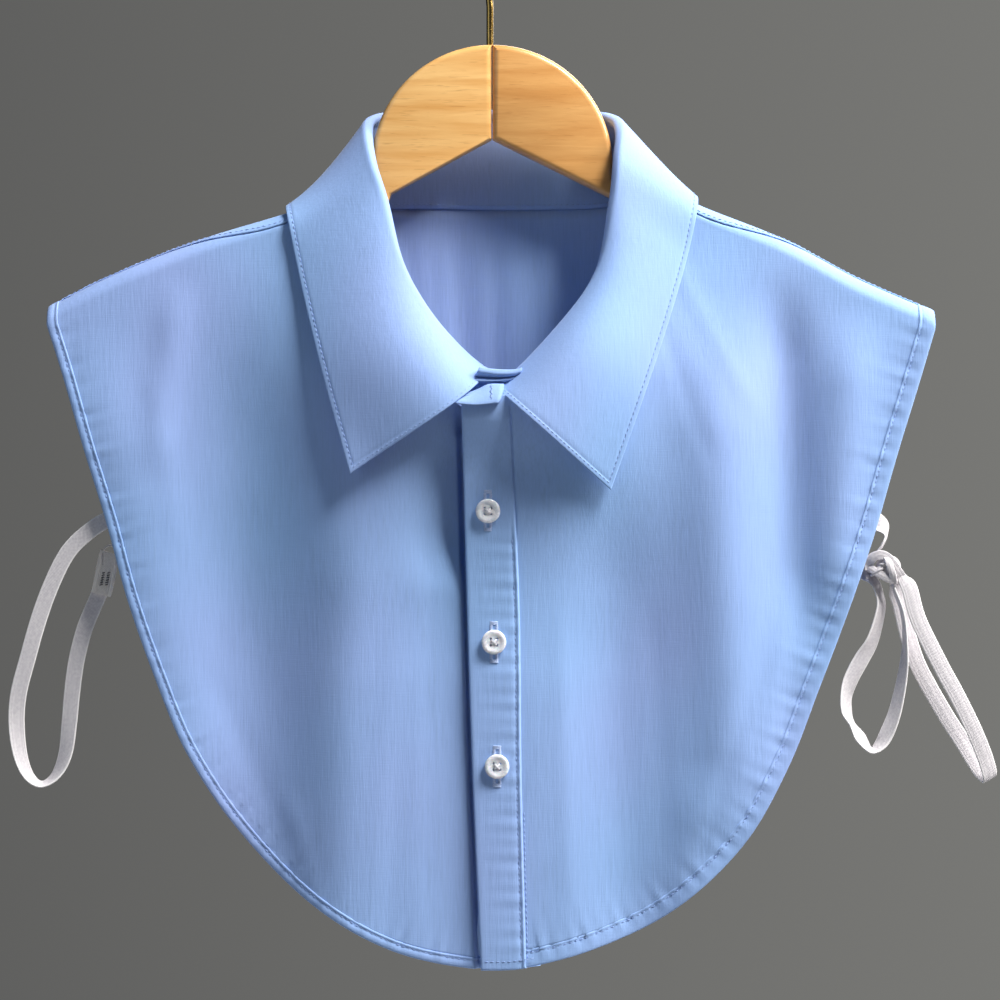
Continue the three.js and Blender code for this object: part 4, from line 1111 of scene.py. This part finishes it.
TAB_ROUNDING = 0.45


def rim(distance, half):
    """Half the thickness at a distance from a rounded edge, nipped by the topstitching."""
    near = np.clip(distance / half, 0, 1)
    nip = TOPSTITCH_NIP * np.exp(-(((distance - TOPSTITCH_INSET) / NIP_WIDTH) ** 2))
    return half * (np.sqrt(np.clip(1 - (1 - near) ** 2, 0, 1)) - nip)


def collar_leaf():
    """The turned-down leaf as a grid of points from the seam inside the roll to its edge, and half
    its thickness at each."""
    first, last = NAMES.index("left point"), NAMES.index("right point")
    offsets = EDGE_STEPS / LEAF_EACH
    inner = np.linspace(first + offsets[-1], last - offsets[-1], 230)
    place = np.concatenate([first + offsets[:-1], inner, (last - offsets[:-1])[::-1]])
    section = between(SECTIONS, place)
    seam, roll, edge = section[:, 0:3], section[:, 3:6], section[:, 6:9]
    ahead = between(SECTIONS[:, 3:6], np.minimum(place + 0.2, last))
    behind = between(SECTIONS[:, 3:6], np.maximum(place - 0.2, first))
    way = ahead - behind
    out = unit(np.cross(way, edge - roll))
    down = unit(seam - roll)
    side = unit(np.cross(way, down))
    turn = roll + side * LIP[-1][0] + down * LIP[-1][1]
    near = lerp(roll, edge, NEAR_SHARE) + out * section[:, 9:10]
    far = lerp(roll, edge, FAR_SHARE) + out * section[:, 10:11]
    bezier = [
        (1 - t) ** 3 * turn + 3 * (1 - t) ** 2 * t * near + 3 * (1 - t) * t**2 * far + t**3 * edge
        for t in BEZIER_PLACES
    ]
    lip = [roll + side * s + down * d for s, d in LIP]
    dense = smooth_line(np.array(lip + bezier), 10)
    rows, gaps = [], []
    for line in np.moveaxis(dense, 1, 0):
        total = lengths(line)[-1]
        inside = np.linspace(EDGE_STEPS[-1], total - ROLL_STRIP, 34)
        over_roll = np.linspace(total - ROLL_STRIP, total, 16)
        back = np.concatenate([EDGE_STEPS, inside[1:], over_roll[1:]])[::-1]
        rows.append(along(line, line, total - back))
        gaps.append(back)
    grid, to_edge = np.array(rows), np.array(gaps)
    ends = []
    for row in (grid[0], grid[-1]):
        way = unit(np.gradient(row, axis=0))
        ends.append(np.linalg.norm(np.cross(grid - row[None], way[None]), axis=-1))
    count = len(place) // 3
    ends[0][count:] = 1e3
    ends[1][:-count] = 1e3
    return grid, rim(np.minimum(to_edge, np.minimum(*ends)), COLLAR_CLOTH / 2)


def topstitch_line(grid):
    """The topstitching's line: down one leading edge, along the outer edge and up the other."""
    normals = normals_beside(grid)
    row = int(np.argmin(np.abs(EDGE_STEPS - TOPSTITCH_INSET)))
    column = len(grid[0]) - 1 - row
    path = [(row, j) for j in range(STITCHED_FROM, column)]
    path += [(i, column) for i in range(row, len(grid) - row - 1)]
    path += [(len(grid) - 1 - row, j) for j in range(column, STITCHED_FROM, -1)]
    i, j = np.array(path).T
    return grid[i, j], normals[i, j]


def stitches_facing(way, line, ups, height):
    """Stitches along a line, lifted off it on the side whose normal has Y of this sign halfway."""
    ups = ups * np.sign(ups[len(ups) // 2, 1]) * way
    return stitches(line + ups * height, ups)


leaf, leaf_half = collar_leaf()
fall = piece("collar_leaf", shell([leaf], [leaf_half]), cloth, ["collar_fall"])
sewn = stitches_facing(1, *topstitch_line(leaf), TOPSTITCH_HEIGHT)
leaf_sewn = piece("collar_stitches", sewn, cloth_thread_painted_shade)


def collar_stand():
    """The band that stands on the neck seam, with rounded tab ends."""
    last = len(SECTIONS) - 1
    tip = EDGE_STEPS[:9] / STAND_EACH
    place = np.concatenate([tip, np.linspace(0.2, last - 0.2, 300), last - tip[::-1]])
    section = between(SECTIONS, place)
    seam, roll = section[:, 0:3], section[:, 3:6]
    height = np.linalg.norm(roll - seam, axis=1)
    reach = np.minimum(place, last - place) * STAND_EACH
    rounded = 1 - TAB_ROUNDING * np.sqrt(np.clip(1 - reach / TAB_ROUND, 0, 1))
    start, end = STAND_FROM / height, (1 - STAND_TO / height) * rounded
    t = np.linspace(0, 1, 22)
    share = lerp(start[:, None], end[:, None], t[None])
    grid = lerp(seam[:, None], roll[:, None], share[..., None])
    bow = unit(np.cross(np.gradient(seam, axis=0), roll - seam))
    grid = grid + bow[:, None] * (STAND_BOW * np.sin(np.pi * t))[None, :, None]
    near = np.clip(reach[:, None] / STAND_HALF, 0, 1)
    half = STAND_HALF * np.sqrt(np.clip(1 - (1 - near) ** 2, 0, 1)) * np.ones_like(share)
    return grid, half


stand, stand_half = collar_stand()
stand_piece = piece("collar_band", shell([stand], [stand_half]), cloth, ["collar_stand"])
seam_rows = slice(40, -40)
neck_line, neck_ups = stand[seam_rows, 1], normals_beside(stand)[seam_rows, 1]
sewn = stitches_facing(-1, neck_line, neck_ups, STAND_STITCH_HEIGHT)
stand_sewn = piece("neck_stitches", sewn, cloth_thread_painted_shade)


# Placket, buttons and buttonholes

# The placket's section: which edge a place is measured from, its distance, and its height over the
# middle of the cloth below and above the place where the sewn ridge begins.
PLACKET_SECTION = table(("edge", "off", "low", "high"), [
    ("left", 0.0, 0.55, 0.55),
    ("left", 0.12, 0.95, 0.95),
    ("left", 0.4, 1.22, 1.22),
    ("left", 0.9, 1.34, 1.34),
    ("left", 2.2, 1.32, 1.32),
    ("left", 8.0, 1.36, 1.36),
    ("right", -4.5, 1.34, 1.34),
    ("right", -3.0, 1.3, 1.34),
    ("right", -2.3, 1.12, 1.33),
    ("right", -1.8, 0.9, 1.31),
    ("right", -1.35, 1.15, 1.28),
    ("right", -0.8, 1.42, 1.22),
    ("right", -0.35, 1.38, 1.05),
    ("right", -0.1, 0.95, 0.5),
    ("right", 0.12, 0.4, -0.4),
    ("right", 0.4, 0.2, 0.3),
    ("right", 0.9, 0.12, 0.5),
    ("right", 2.0, 0.1, 0.4),
    ("right", 4.0, 0.06, 0.26),
    ("right", 6.5, 0.0, 0.1),
    ("right", 6.5, -0.15, -0.15),
    ("right", 0.0, -0.4, -0.4),
    ("left", 8.0, 0.1, 0.1),
    ("left", 2.2, 0.1, 0.1),
    ("left", 0.5, 0.15, 0.15),
    ("left", 0.1, 0.3, 0.3),
])
PLACKET_TOP = -222.5
RIDGE_FROM = -281.0  # where the crease on the placket's right becomes a sewn ridge
RIDGE_BLEND = 9
PLACKET_GATHER = 0.16
PLACKET_ROUND = 0.8  # rounding of its bottom edge
PLACKET_FACE = 1.36  # height over the middle of the front's cloth
BOTTOM_STITCHES = 3.9  # above the bottom edge
STITCHES_END = 4.6  # above the placket's lowest row
OUTER_STITCHES_FROM = -404


def placket_floor(x):
    """Height of the front's bottom edge."""
    line = smooth_line(OUTLINE["right"], 12)[::-1]
    return np.interp(x, line[:, 0], line[:, 1]) - 0.3


def placket_height(z):
    """How much of its section's height the placket has: none at its top, under the tab."""
    return smoothstep(-z, *PLACKET_START)


def placket_strip():
    """The placket's section swept down the right front, as rings."""
    bottom = PLACKET[0]["z"]
    last = 1 - PLACKET_ROUND / (PLACKET_TOP - bottom)
    v = np.concatenate([np.linspace(0, last, 320), lerp(last, 1, np.array([0.4, 0.75, 0.93, 1.0]))])
    z = lerp(PLACKET_TOP, bottom, v)
    edges = {key: read(PLACKET, "z", key, z) for key in ("left", "right")}
    x = np.stack([edges[row["edge"]] + row["off"] for row in PLACKET_SECTION], 1)
    low = np.array([row["low"] for row in PLACKET_SECTION])
    high = np.array([row["high"] for row in PLACKET_SECTION])
    share = smoothstep(z, RIDGE_FROM - RIDGE_BLEND, RIDGE_FROM + RIDGE_BLEND)[:, None]
    sewn = smoothstep(x, x[:, :1] + 7, x[:, :1] + 17) * (x <= edges["right"][:, None])
    gather = PLACKET_GATHER * pucker(z * 1.1)[:, None] * sewn * (1 - share)
    to_end = np.clip((1 - v) * (PLACKET_TOP - bottom) / PLACKET_ROUND, 0.02, 1)
    swell = np.sqrt(1 - (1 - to_end) ** 2)[:, None]
    height = lerp(low[None], high[None], share)
    height = 0.5 + (height - 0.5) * swell + gather
    height = height * lerp(0.1, 1, placket_height(z))[:, None]
    flat = np.stack([x, lerp(PLACKET_TOP, placket_floor(x), v[:, None])], -1)
    return on_panel("right", flat, height)


def placket_lines():
    """Rows of stitches, each as its line and the directions out of the cloth."""
    bottom = PLACKET[0]["z"] + STITCHES_END
    down = np.linspace(RIDGE_FROM - 4, bottom, 200)
    beside = np.linspace(OUTER_STITCHES_FROM, bottom, 80)
    right = read(PLACKET, "z", "right", down)
    across = np.linspace(PLACKET[0]["left"] + 1, PLACKET[0]["right"] + 4, 30)
    hem = placket_floor(across) + BOTTOM_STITCHES
    rows = [
        (np.stack([right - 1.8, down], -1), 0.98),
        (np.stack([read(PLACKET, "z", "right", beside) + 1.0, beside], -1), 0.3),
        (np.stack([across, hem], -1), PLACKET_FACE),
    ]
    return [(on_panel("right", flat, np.full(len(flat), h)), facing("right", *flat.T)) for flat, h in rows]


# The tab over the placket's top and the folds behind it. Each row, from the top one down, has how
# far it stands in front of the middle of the front's cloth, and then its places from left to right.
TAB_ROWS = [
    (-2.6, [
        (-18.2, -223.4), (-15.4, -222.4), (-10.1, -222.0), (-4.8, -220.0), (0.0, -218.0), (8.4, -218.0),
    ]),
    (-0.4, [
        (-18.6, -224.6), (-16.0, -223.5), (-10.8, -223.4), (-5.0, -222.2), (0.4, -220.9), (7.8, -220.3),
    ]),
    (2.3, [
        (-19.0, -225.8), (-16.8, -224.9), (-11.8, -225.3), (-6.0, -225.6), (0.0, -225.0), (6.4, -223.8),
    ]),
    (2.8, [
        (-19.2, -226.4), (-17.2, -225.6), (-12.3, -226.2), (-6.6, -226.6), (-0.6, -226.2), (5.6, -225.4),
    ]),
]
FOLD_ROWS = [
    (-4.0, [(-4.4, -210.0), (-3.1, -210.4), (4.0, -211.2), (11.2, -211.2), (15.0, -210.0)]),
    (-3.6, [(-5.2, -212.2), (-4.0, -212.6), (3.6, -213.6), (10.6, -213.4), (14.6, -212.0)]),
    (-7.4, [(-6.8, -214.8), (-5.2, -215.2), (3.0, -215.6), (9.6, -215.0), (13.6, -213.6)]),
    (-4.6, [(-8.2, -216.0), (-6.5, -216.4), (1.6, -216.6), (8.4, -216.0), (12.6, -214.8)]),
    (-8.8, [(-11.6, -218.4), (-9.0, -218.4), (0.0, -218.2), (7.4, -217.6), (11.4, -216.8)]),
    (-9.4, [(-14.2, -223.8), (-12.0, -223.4), (-4.0, -222.4), (4.6, -221.6), (10.0, -220.8)]),
]
BAND_END = 0.09  # share of a band's length in which its ends sink behind the wings
BAND_SINK = -17
TAB_CLOTH = 0.8
THIN_EDGE = 0.03
TAB_HOLE_X = 0.6
TAB_HOLE_TOP = -218.6
TAB_HOLE_STITCHES = 14
TAB_HOLE_PITCH = 0.42
TAB_HOLE_SWAY = 0.3
# How far below the origin a stitch is, and how far it stands in front of the front's cloth.
TAB_HOLE_HEIGHTS = [(218.0, -2.0), (220.9, 0.2), (225.0, 2.9), (226.2, 3.4)]


def band(rows, across=48, down=6):
    """A grid of cloth through rows of places on the front, each row with its own height."""
    lines = []
    for lift, places in rows:
        flat = between(np.array(places), np.linspace(0, len(places) - 1, across))
        at_end = np.minimum(np.linspace(0, 1, across), np.linspace(1, 0, across))
        lines.append(np.column_stack([flat, lerp(BAND_SINK, lift, smoothstep(at_end, 0, BAND_END))]))
    grid = smooth_line(np.array(lines).reshape(len(rows), -1), down).reshape(-1, across, 3)
    return on_panel("right", grid[..., :2], grid[..., 2])


def band_shell(rows):
    grid = band(rows)
    half = np.full(grid.shape[:2], TAB_CLOTH / 2)
    half[[0, -1]] = THIN_EDGE
    return shell([grid], [half])


def tab_hole():
    """A short column of slanting stitches, the end of the buttonhole in the tab."""
    k = np.arange(TAB_HOLE_STITCHES)
    x = TAB_HOLE_X + TAB_HOLE_SWAY * np.sin(5.0 * k)
    z = TAB_HOLE_TOP - TAB_HOLE_PITCH * k
    lift = np.interp(-z, *zip(*TAB_HOLE_HEIGHTS))
    centres = on_panel("right", np.stack([x, z], -1), lift)
    return bars(centres, (1.0, 0, 0.5), TO_FRONT, 1.3)


tab_bands = piece("collar_tab", joined([band_shell(TAB_ROWS), band_shell(FOLD_ROWS)]), cloth)
tab_sewn = piece("tab_stitches", tab_hole(), cloth_thread_painted_shade)

placket = piece("placket_strip", tube(placket_strip()), cloth, ["placket"])
placket_sewn = piece(
    "placket_stitches", joined([stitches(*row) for row in placket_lines()]), cloth_thread_painted_shade
)


def lathe(profile, sides):
    """A closed turned shape about Z, from radius and height pairs between two points on the axis."""
    angles = np.linspace(0, 2 * np.pi, sides, endpoint=False)
    rings = np.array([[(r * math.cos(a), r * math.sin(a), h) for a in angles] for r, h in profile[1:-1]])
    vertices = np.vstack([rings.reshape(-1, 3), [(0, 0, profile[0][1]), (0, 0, profile[-1][1])]])
    count, start, end = len(rings), len(vertices) - 2, len(vertices) - 1
    faces = []
    for k in range(sides):
        n = (k + 1) % sides
        top = (count - 1) * sides
        faces += [(start, n, k), (end, top + k, top + n)]
        faces += [(i + k, i + n, i + sides + n, i + sides + k) for i in range(0, top, sides)]
    return vertices, faces


def taken_out(made_object):
    """Vertices in millimetres and faces of an object as its modifiers or its curve leave it."""
    final = made_object.evaluated_get(bpy.context.evaluated_depsgraph_get())
    mesh = bpy.data.meshes.new_from_object(final)
    return np.array([v.co for v in mesh.vertices]) / MM, [list(p.vertices) for p in mesh.polygons]


BUTTON_PROFILE = [
    (0, -0.95), (4.0, -0.95), (4.8, -0.8), (5.25, -0.35), (5.4, 0.1), (5.3, 0.55), (5.0, 0.85), (4.5, 1.0),
    (3.9, 0.98), (3.4, 0.84), (2.9, 0.68), (2.2, 0.6), (1.0, 0.58), (0, 0.58),
]
HOLE_OFFSET = 1.3
HOLE_RADIUS = 0.62
BUTTON_HEIGHT = PLACKET_FACE + 1.5
OUTWARD = (0, 0, 1.0)
BUTTON_THREAD = 0.17
THREAD_SHIFTS = (-0.18, 0.0, 0.18)
THREAD_HEIGHT = 0.72
DRILL_PROFILE = [(0, -3), (HOLE_RADIUS, -3), (HOLE_RADIUS, 3), (0, 3)]


def button_vertices():
    """A turned button with a raised rim and four holes."""
    body = mesh_object("button_body", lathe(BUTTON_PROFILE, 72))
    drills = []
    for across in (-1, 1):
        for up in (-1, 1):
            made, faces = lathe(DRILL_PROFILE, 20)
            drills.append((made + [across * HOLE_OFFSET, up * HOLE_OFFSET, 0], faces))
    drill = mesh_object("button_drill", joined(drills))
    cut = body.modifiers.new("holes", "BOOLEAN")
    cut.operation, cut.solver, cut.object = "DIFFERENCE", "EXACT", drill
    shape = taken_out(body)
    for made in (body, drill):
        bpy.data.objects.remove(made)
    return shape


def on_placket(shape, x, z, proud):
    """A shape whose axes are left, up and out, put on the placket."""
    out = facing("right", np.array(x), np.array(z))
    at = on_panel("right", np.array([x, z]), np.array(proud))
    across = unit(np.cross([0.0, 0.0, 1.0], -out))
    return shape[0] @ np.stack([across, np.cross(across, out), out]) + at, shape[1]


def crossed_thread():
    """Threads from hole to hole across a button's face, in two crossing bundles of three."""
    lines = []
    for slope in (1, -1):
        for shift in THREAD_SHIFTS:
            way = np.array([2 * HOLE_OFFSET, 2 * slope * HOLE_OFFSET, 0])
            sideways = unit(np.cross(way, OUTWARD)) * shift
            lines.append((sideways + [0, 0, THREAD_HEIGHT + abs(shift)], way))
    centres, ways = (np.array(v) for v in zip(*lines))
    return bars(centres, ways, OUTWARD, 2 * math.sqrt(2) * HOLE_OFFSET, BUTTON_THREAD)


button_shape = button_vertices()
cross = crossed_thread()
for i, place in enumerate(BUTTONS, 1):
    made = on_placket(button_shape, *place, BUTTON_HEIGHT)
    piece(f"button_{i}_shell", made, shell_white, [f"button_{i}"])
    piece(f"button_{i}_thread", on_placket(cross, *place, BUTTON_HEIGHT), white_thread)

HOLE_LENGTH = 16.6
HOLE_WIDTH = 4.0
HOLE_SIDE = 1.5  # width of the thread on each side of the slit
HOLE_PITCH = 0.36
HOLE_THREAD = 0.19


def buttonhole(x, z):
    """A close ring of thread round a slit, with a bar across each end."""
    rise = np.arange(-HOLE_LENGTH / 2 + 0.9, HOLE_LENGTH / 2 - 0.8, HOLE_PITCH)
    middle = (HOLE_WIDTH - HOLE_SIDE) / 2
    sides = [(side * middle, up + 0.1 * side, 0.1) for side in (-1, 1) for up in rise]
    ends = [(0, end * HOLE_LENGTH / 2 + step, 0.18) for end in (-1, 1) for step in (-0.6, -0.2, 0.2, 0.6)]
    made = []
    for centres, length in ((sides, HOLE_SIDE), (ends, HOLE_WIDTH)):
        count = len(centres)
        ways = np.stack([np.ones(count), rng.normal(0, 0.05, count), np.zeros(count)], -1)
        made.append(bars(np.array(centres), ways, OUTWARD, length, HOLE_THREAD))
    return on_placket(joined(made), x, z, PLACKET_FACE)


holes = piece("buttonholes", joined([buttonhole(x, z) for x, z in BUTTONS]), pale_thread)


# Tapes and knot

TAPE_THICKNESS = 0.95
DOUBLED_THICKNESS = 2.3
DOUBLED_WIDTH = 9.0
TAPE_BOW = 0.12
TAPE_CORDS = 7
CORD_RELIEF = 0.09
PINCH = 0.45  # share of its width that a gathered end keeps
PINCH_FADE = (1, 9)  # from the end
# Which ends of a tape go into the knot: its first, its last.
PINCHED = {
    "strap_right_tab_tape": (False, True),
    "strap_right_loop_tape": (False, True),
    "strap_right_long_tape": (True, True),
}


def tape_section(width, thickness):
    """A flat section with rounded selvedges and shallow cords along the tape."""
    turn = np.linspace(0, 2 * np.pi, 56, endpoint=False)
    x = np.sign(np.cos(turn)) * np.abs(np.cos(turn)) ** 0.55 * width / 2
    y = np.sign(np.sin(turn)) * np.abs(np.sin(turn)) ** 0.45 * thickness / 2
    cords = 1 + CORD_RELIEF * np.cos(2 * np.pi * TAPE_CORDS * x / width)
    return x, y * cords


def tape_rings(rows, width, thickness, pinched=(False, False)):
    """A tape's section along its places, with each ring's distance and the places across it. A
    pinched end is gathered where it goes into the knot."""
    rows = np.array(rows, float)
    values = between(rows, np.linspace(0, len(rows) - 1, (len(rows) - 1) * 16 + 1))
    middle = values[:, :3]
    way = unit(np.gradient(middle, axis=0))
    across = unit(values[:, 3:])
    across = unit(across - way * (across * way).sum(1, keepdims=True))
    out = np.cross(way, across)
    x, y = tape_section(width, thickness)
    y = y + TAPE_BOW * np.cos(np.pi * x / width)
    run = lengths(middle)
    narrow = np.ones(len(run))
    for end, distance in zip(pinched, (run, run[-1] - run)):
        if end:
            narrow = narrow * lerp(PINCH, 1, smoothstep(distance, *PINCH_FADE))
    wide = across * narrow[:, None]
    rings = middle[:, None] + wide[:, None] * x[None, :, None] + out[:, None] * y[None, :, None]
    return rings, run, x


def tape(name, rows, width, thickness, material, replaces):
    """A piece of tape. Its cut attribute has each vertex's place along the tape and across it."""
    rings, run, x = tape_rings(rows, width, thickness, PINCHED.get(name, (False, False)))
    made = piece(name, tube(rings), material, replaces)
    cut = np.zeros((len(run), len(x), 3), np.float32)
    cut[..., 0] = run[:, None]
    cut[..., 1] = x[None]
    made.data.attributes.new("cut", "FLOAT_VECTOR", "POINT").data.foreach_set("vector", cut.ravel())


for name, rows in TAPES.items():
    if name != "strap_left_end":
        tape(f"{name}_tape", rows, TAPE_WIDTH, TAPE_THICKNESS, tape_cloth, [name])
# The doubled end takes the tape painted paler: painted light against the front's shade.
doubled = TAPES["strap_left_end"]
tape("strap_left_end_tape", doubled, DOUBLED_WIDTH, DOUBLED_THICKNESS, doubled_tape_painted_light, ["strap_left_end"])

# The small loop over the doubled end: places from one leg over the top to the other.
FOLD_LOOP = [
    (-170.9, 3.6, -297.0), (-171.0, 3.6, -292.4), (-169.6, 3.5, -289.4), (-167.4, 3.4, -288.3),
    (-165.4, 3.3, -289.4), (-164.5, 3.2, -292.4), (-165.3, 3.2, -297.0),
]
LOOP_WIDTH = 3.6
LOOP_THICKNESS = 0.8
loop_rows = [(*place, 0, 1, 0) for place in FOLD_LOOP]
# The loop takes the same paler tape, with the same painted light.
tape("strap_left_fold", loop_rows, LOOP_WIDTH, LOOP_THICKNESS, doubled_tape_painted_light, [])
DOTS_ACROSS = (-1.1, 1.2)  # places of the two rows across the doubled end
DOTS_IN_ROW = 6
DOTS_AT = (-169.7, 3.5, -303.0)
DOTS_TOP = -300.3
DOT_PITCH = 1.05
DOT_LEAN = 0.2


def end_dots():
    """Two short rows of grey stitches through the middle of the doubled end."""
    x, y, z = DOTS_AT
    face = y - DOUBLED_THICKNESS / 2 - 0.12
    downs = DOTS_TOP - DOT_PITCH * np.arange(DOTS_IN_ROW)
    centres = [(x + across + DOT_LEAN * (down - z), face, down) for across in DOTS_ACROSS for down in downs]
    return bars(np.array(centres), (1.0, 0, 0.25), TO_FRONT, 1.5, 0.22)


piece("strap_left_stitches", end_dots(), grey_thread)

# The knot's bands: width, then places along each, and the direction across, in front of its middle.
KNOT_BANDS = [
    (3.9, [
        (165.9, -1.2, -298.6, 0.6, 0.1, 0.8), (167.0, -3.0, -295.2, 0.85, 0, -0.5),
        (169.2, -3.7, -293.0, 0.5, 0, -0.86), (172.0, -3.9, -292.3, 0, 0, -1),
        (174.8, -3.8, -293.6, -0.5, 0, -0.86), (177.4, -3.4, -296.8, -0.82, 0, -0.57),
        (180.2, -2.6, -300.8, -0.8, 0, -0.6), (182.0, -1.0, -303.4, -0.8, 0, -0.6),
    ]),
    (3.5, [
        (164.9, 0.2, -296.8, 0.3, 0, 0.95), (167.3, -2.4, -298.4, 0.45, 0, 0.89),
        (170.0, -3.3, -300.0, 0.5, 0, 0.86), (173.2, -3.6, -301.8, 0.45, 0, 0.89),
        (176.6, -3.2, -303.2, 0.2, 0, 0.98), (179.6, -1.4, -303.4, 0, 0, 1),
    ]),
    (3.1, [
        (173.0, -2.0, -291.6, 0.9, 0, -0.4), (174.6, -4.3, -294.8, 0.9, 0, -0.42),
        (175.9, -4.8, -298.2, 0.94, 0, -0.34), (176.9, -4.3, -301.4, 0.97, 0, -0.25),
        (177.5, -2.4, -304.6, 0.98, 0, -0.2),
    ]),
    (3.0, [
        (167.6, -1.6, -301.2, 0.7, 0, 0.7), (170.0, -3.0, -299.2, 0.68, 0, 0.73),
        (172.4, -3.3, -297.0, 0.68, 0, 0.73), (174.8, -2.8, -294.6, 0.68, 0, 0.73),
    ]),
]
KNOT_CORE = (5.6, 3.4, 5.2)  # half sizes of the lump inside the bands
BAND_THICKNESS = 1.3


def knot_parts():
    """The bands in front, the same ones behind, and the lump between them."""
    parts = []
    for width, rows in KNOT_BANDS:
        for mirror in (1, -1):
            places = np.array(rows) * [1, mirror, 1, 1, mirror, 1]
            parts.append(tube(tape_rings(places, width, BAND_THICKNESS)[0]))
    angles = np.linspace(0, 2 * np.pi, 32, endpoint=False)
    rings = [
        [(r * math.cos(a), h, r * math.sin(a)) for a in angles]
        for r, h in ((math.sin(t), -math.cos(t)) for t in np.linspace(0.12, np.pi - 0.12, 16))
    ]
    parts.append(tube(np.array(rings) * KNOT_CORE + KNOT))
    return joined(parts)


piece("knot_right_tape", knot_parts(), tape_cloth, ["knot_right"])


# Hanger

# Grain colours of each half. The left half is painted lighter and the right half darker: painted light on
# the left, painted shade on the right.
WOOD_PAINTED_LIGHT_AND_SHADE = {
    "left": (linear(244, 197, 128), linear(222, 164, 94)),
    "right": (linear(226, 172, 106), linear(200, 140, 78)),
}
WOOD_EDGE = 2.6  # rounding of the wood's edges
BELOW_CLOTH = 2.4  # from the shoulder's ridge down to the arm
ARM_STEP = 2  # from the arch down to the arm
ARM_FROM, ARM_TO = 57, 166
JOINT_GAP = 0.15  # from the middle to each half
GRAIN_SLOPE = 23


def hanger_outline(side, sign):
    """The outline of one half in X and Z: arch, top of the arm, its underside and the mitre."""
    x, z = ARCH_CENTRE
    joint = x + sign * JOINT_GAP
    drop = float(ridge(sign * ARM_FROM)) - BELOW_CLOTH + ARM_STEP - z
    angles = np.linspace(math.pi / 2, math.asin(drop / ARCH_RADIUS), 48)
    arch = [(x + sign * ARCH_RADIUS * math.cos(a), z + ARCH_RADIUS * math.sin(a)) for a in angles]
    arch[0] = (joint, arch[0][1])
    reach = sign * np.linspace(ARM_FROM, ARM_TO, 40)
    top = zip(reach, ridge(reach) - BELOW_CLOTH)
    return [*arch, *top, *smooth_line(ARMS[side], 6).tolist(), (joint, APEX_Z)]


def hanger_half(side, sign):
    """One half of the hanger: its outline filled and rounded along its edges."""
    points = hanger_outline(side, sign)
    curve = bpy.data.curves.new(f"hanger_{side}_outline", "CURVE")
    curve.dimensions, curve.fill_mode = "2D", "BOTH"
    curve.extrude = (HANGER_THICKNESS / 2 - WOOD_EDGE) * MM
    curve.bevel_depth, curve.bevel_resolution, curve.offset = WOOD_EDGE * MM, 4, -WOOD_EDGE * MM
    spline = curve.splines.new("POLY")
    spline.points.add(len(points) - 1)
    for target, (x, z) in zip(spline.points, points):
        target.co = (x * MM, z * MM, 0, 1)
    spline.use_cyclic_u = True
    made = add_object("outline", curve)
    flat, faces = taken_out(made)
    bpy.data.objects.remove(made)
    vertices = np.stack([flat[:, 0], -flat[:, 2], flat[:, 1]], -1)
    # Each half gets its own copy of the wood: painted lighter on the left, darker on the right.
    wood = timber(f"wood_{side}", (0, math.radians(GRAIN_SLOPE * sign), 0), *WOOD_PAINTED_LIGHT_AND_SHADE[side])
    half = piece(f"hanger_{side}_wood", (vertices, faces), wood, [f"hanger_{side}"])
    half.data.set_sharp_from_angle(angle=math.radians(35))


for side, sign in (("left", -1), ("right", 1)):
    hanger_half(side, sign)


def round_tube(line, radius, sides=16):
    """A round bar along a line in the plane of the hanger."""
    way = unit(np.gradient(line, axis=0))
    out = np.array([0, 1.0, 0])
    angles = np.linspace(0, 2 * np.pi, sides, endpoint=False)[None, :, None]
    ring = np.cos(angles) * np.cross(way, out)[:, None] + np.sin(angles) * out
    return line[:, None] + ring * radius[:, None, None]


HOOK_ANGLES = (-62, -38, -14, 10, 34, 58, 82, 106, 130, 154, 180, 198)


def hook_line():
    """The wire's middle: up from the hanger, to the right and round the bow to its free end."""
    radius = HOOK_RADIUS + WIRE_RADIUS
    stem_end = ARCH_CENTRE[1] + ARCH_RADIUS - 0.4
    stem = [(0, 0, z) for z in (stem_end, -60, -52, -46)]
    turns = [math.radians(angle) for angle in HOOK_ANGLES]
    bow = [(radius * math.cos(a), 0, radius * math.sin(a) - HOOK_RADIUS) for a in turns]
    return smooth_line([*stem, (3.4, 0, -41.6), *bow], 12)


line = hook_line()
end = lengths(line)[-1] - lengths(line)
radius = WIRE_RADIUS * np.sqrt(np.clip(1 - (1 - np.clip(end / WIRE_RADIUS, 0.05, 1)) ** 2, 0.02, 1))
piece("hook_wire", tube(round_tube(line, radius)), brass, ["hook"])
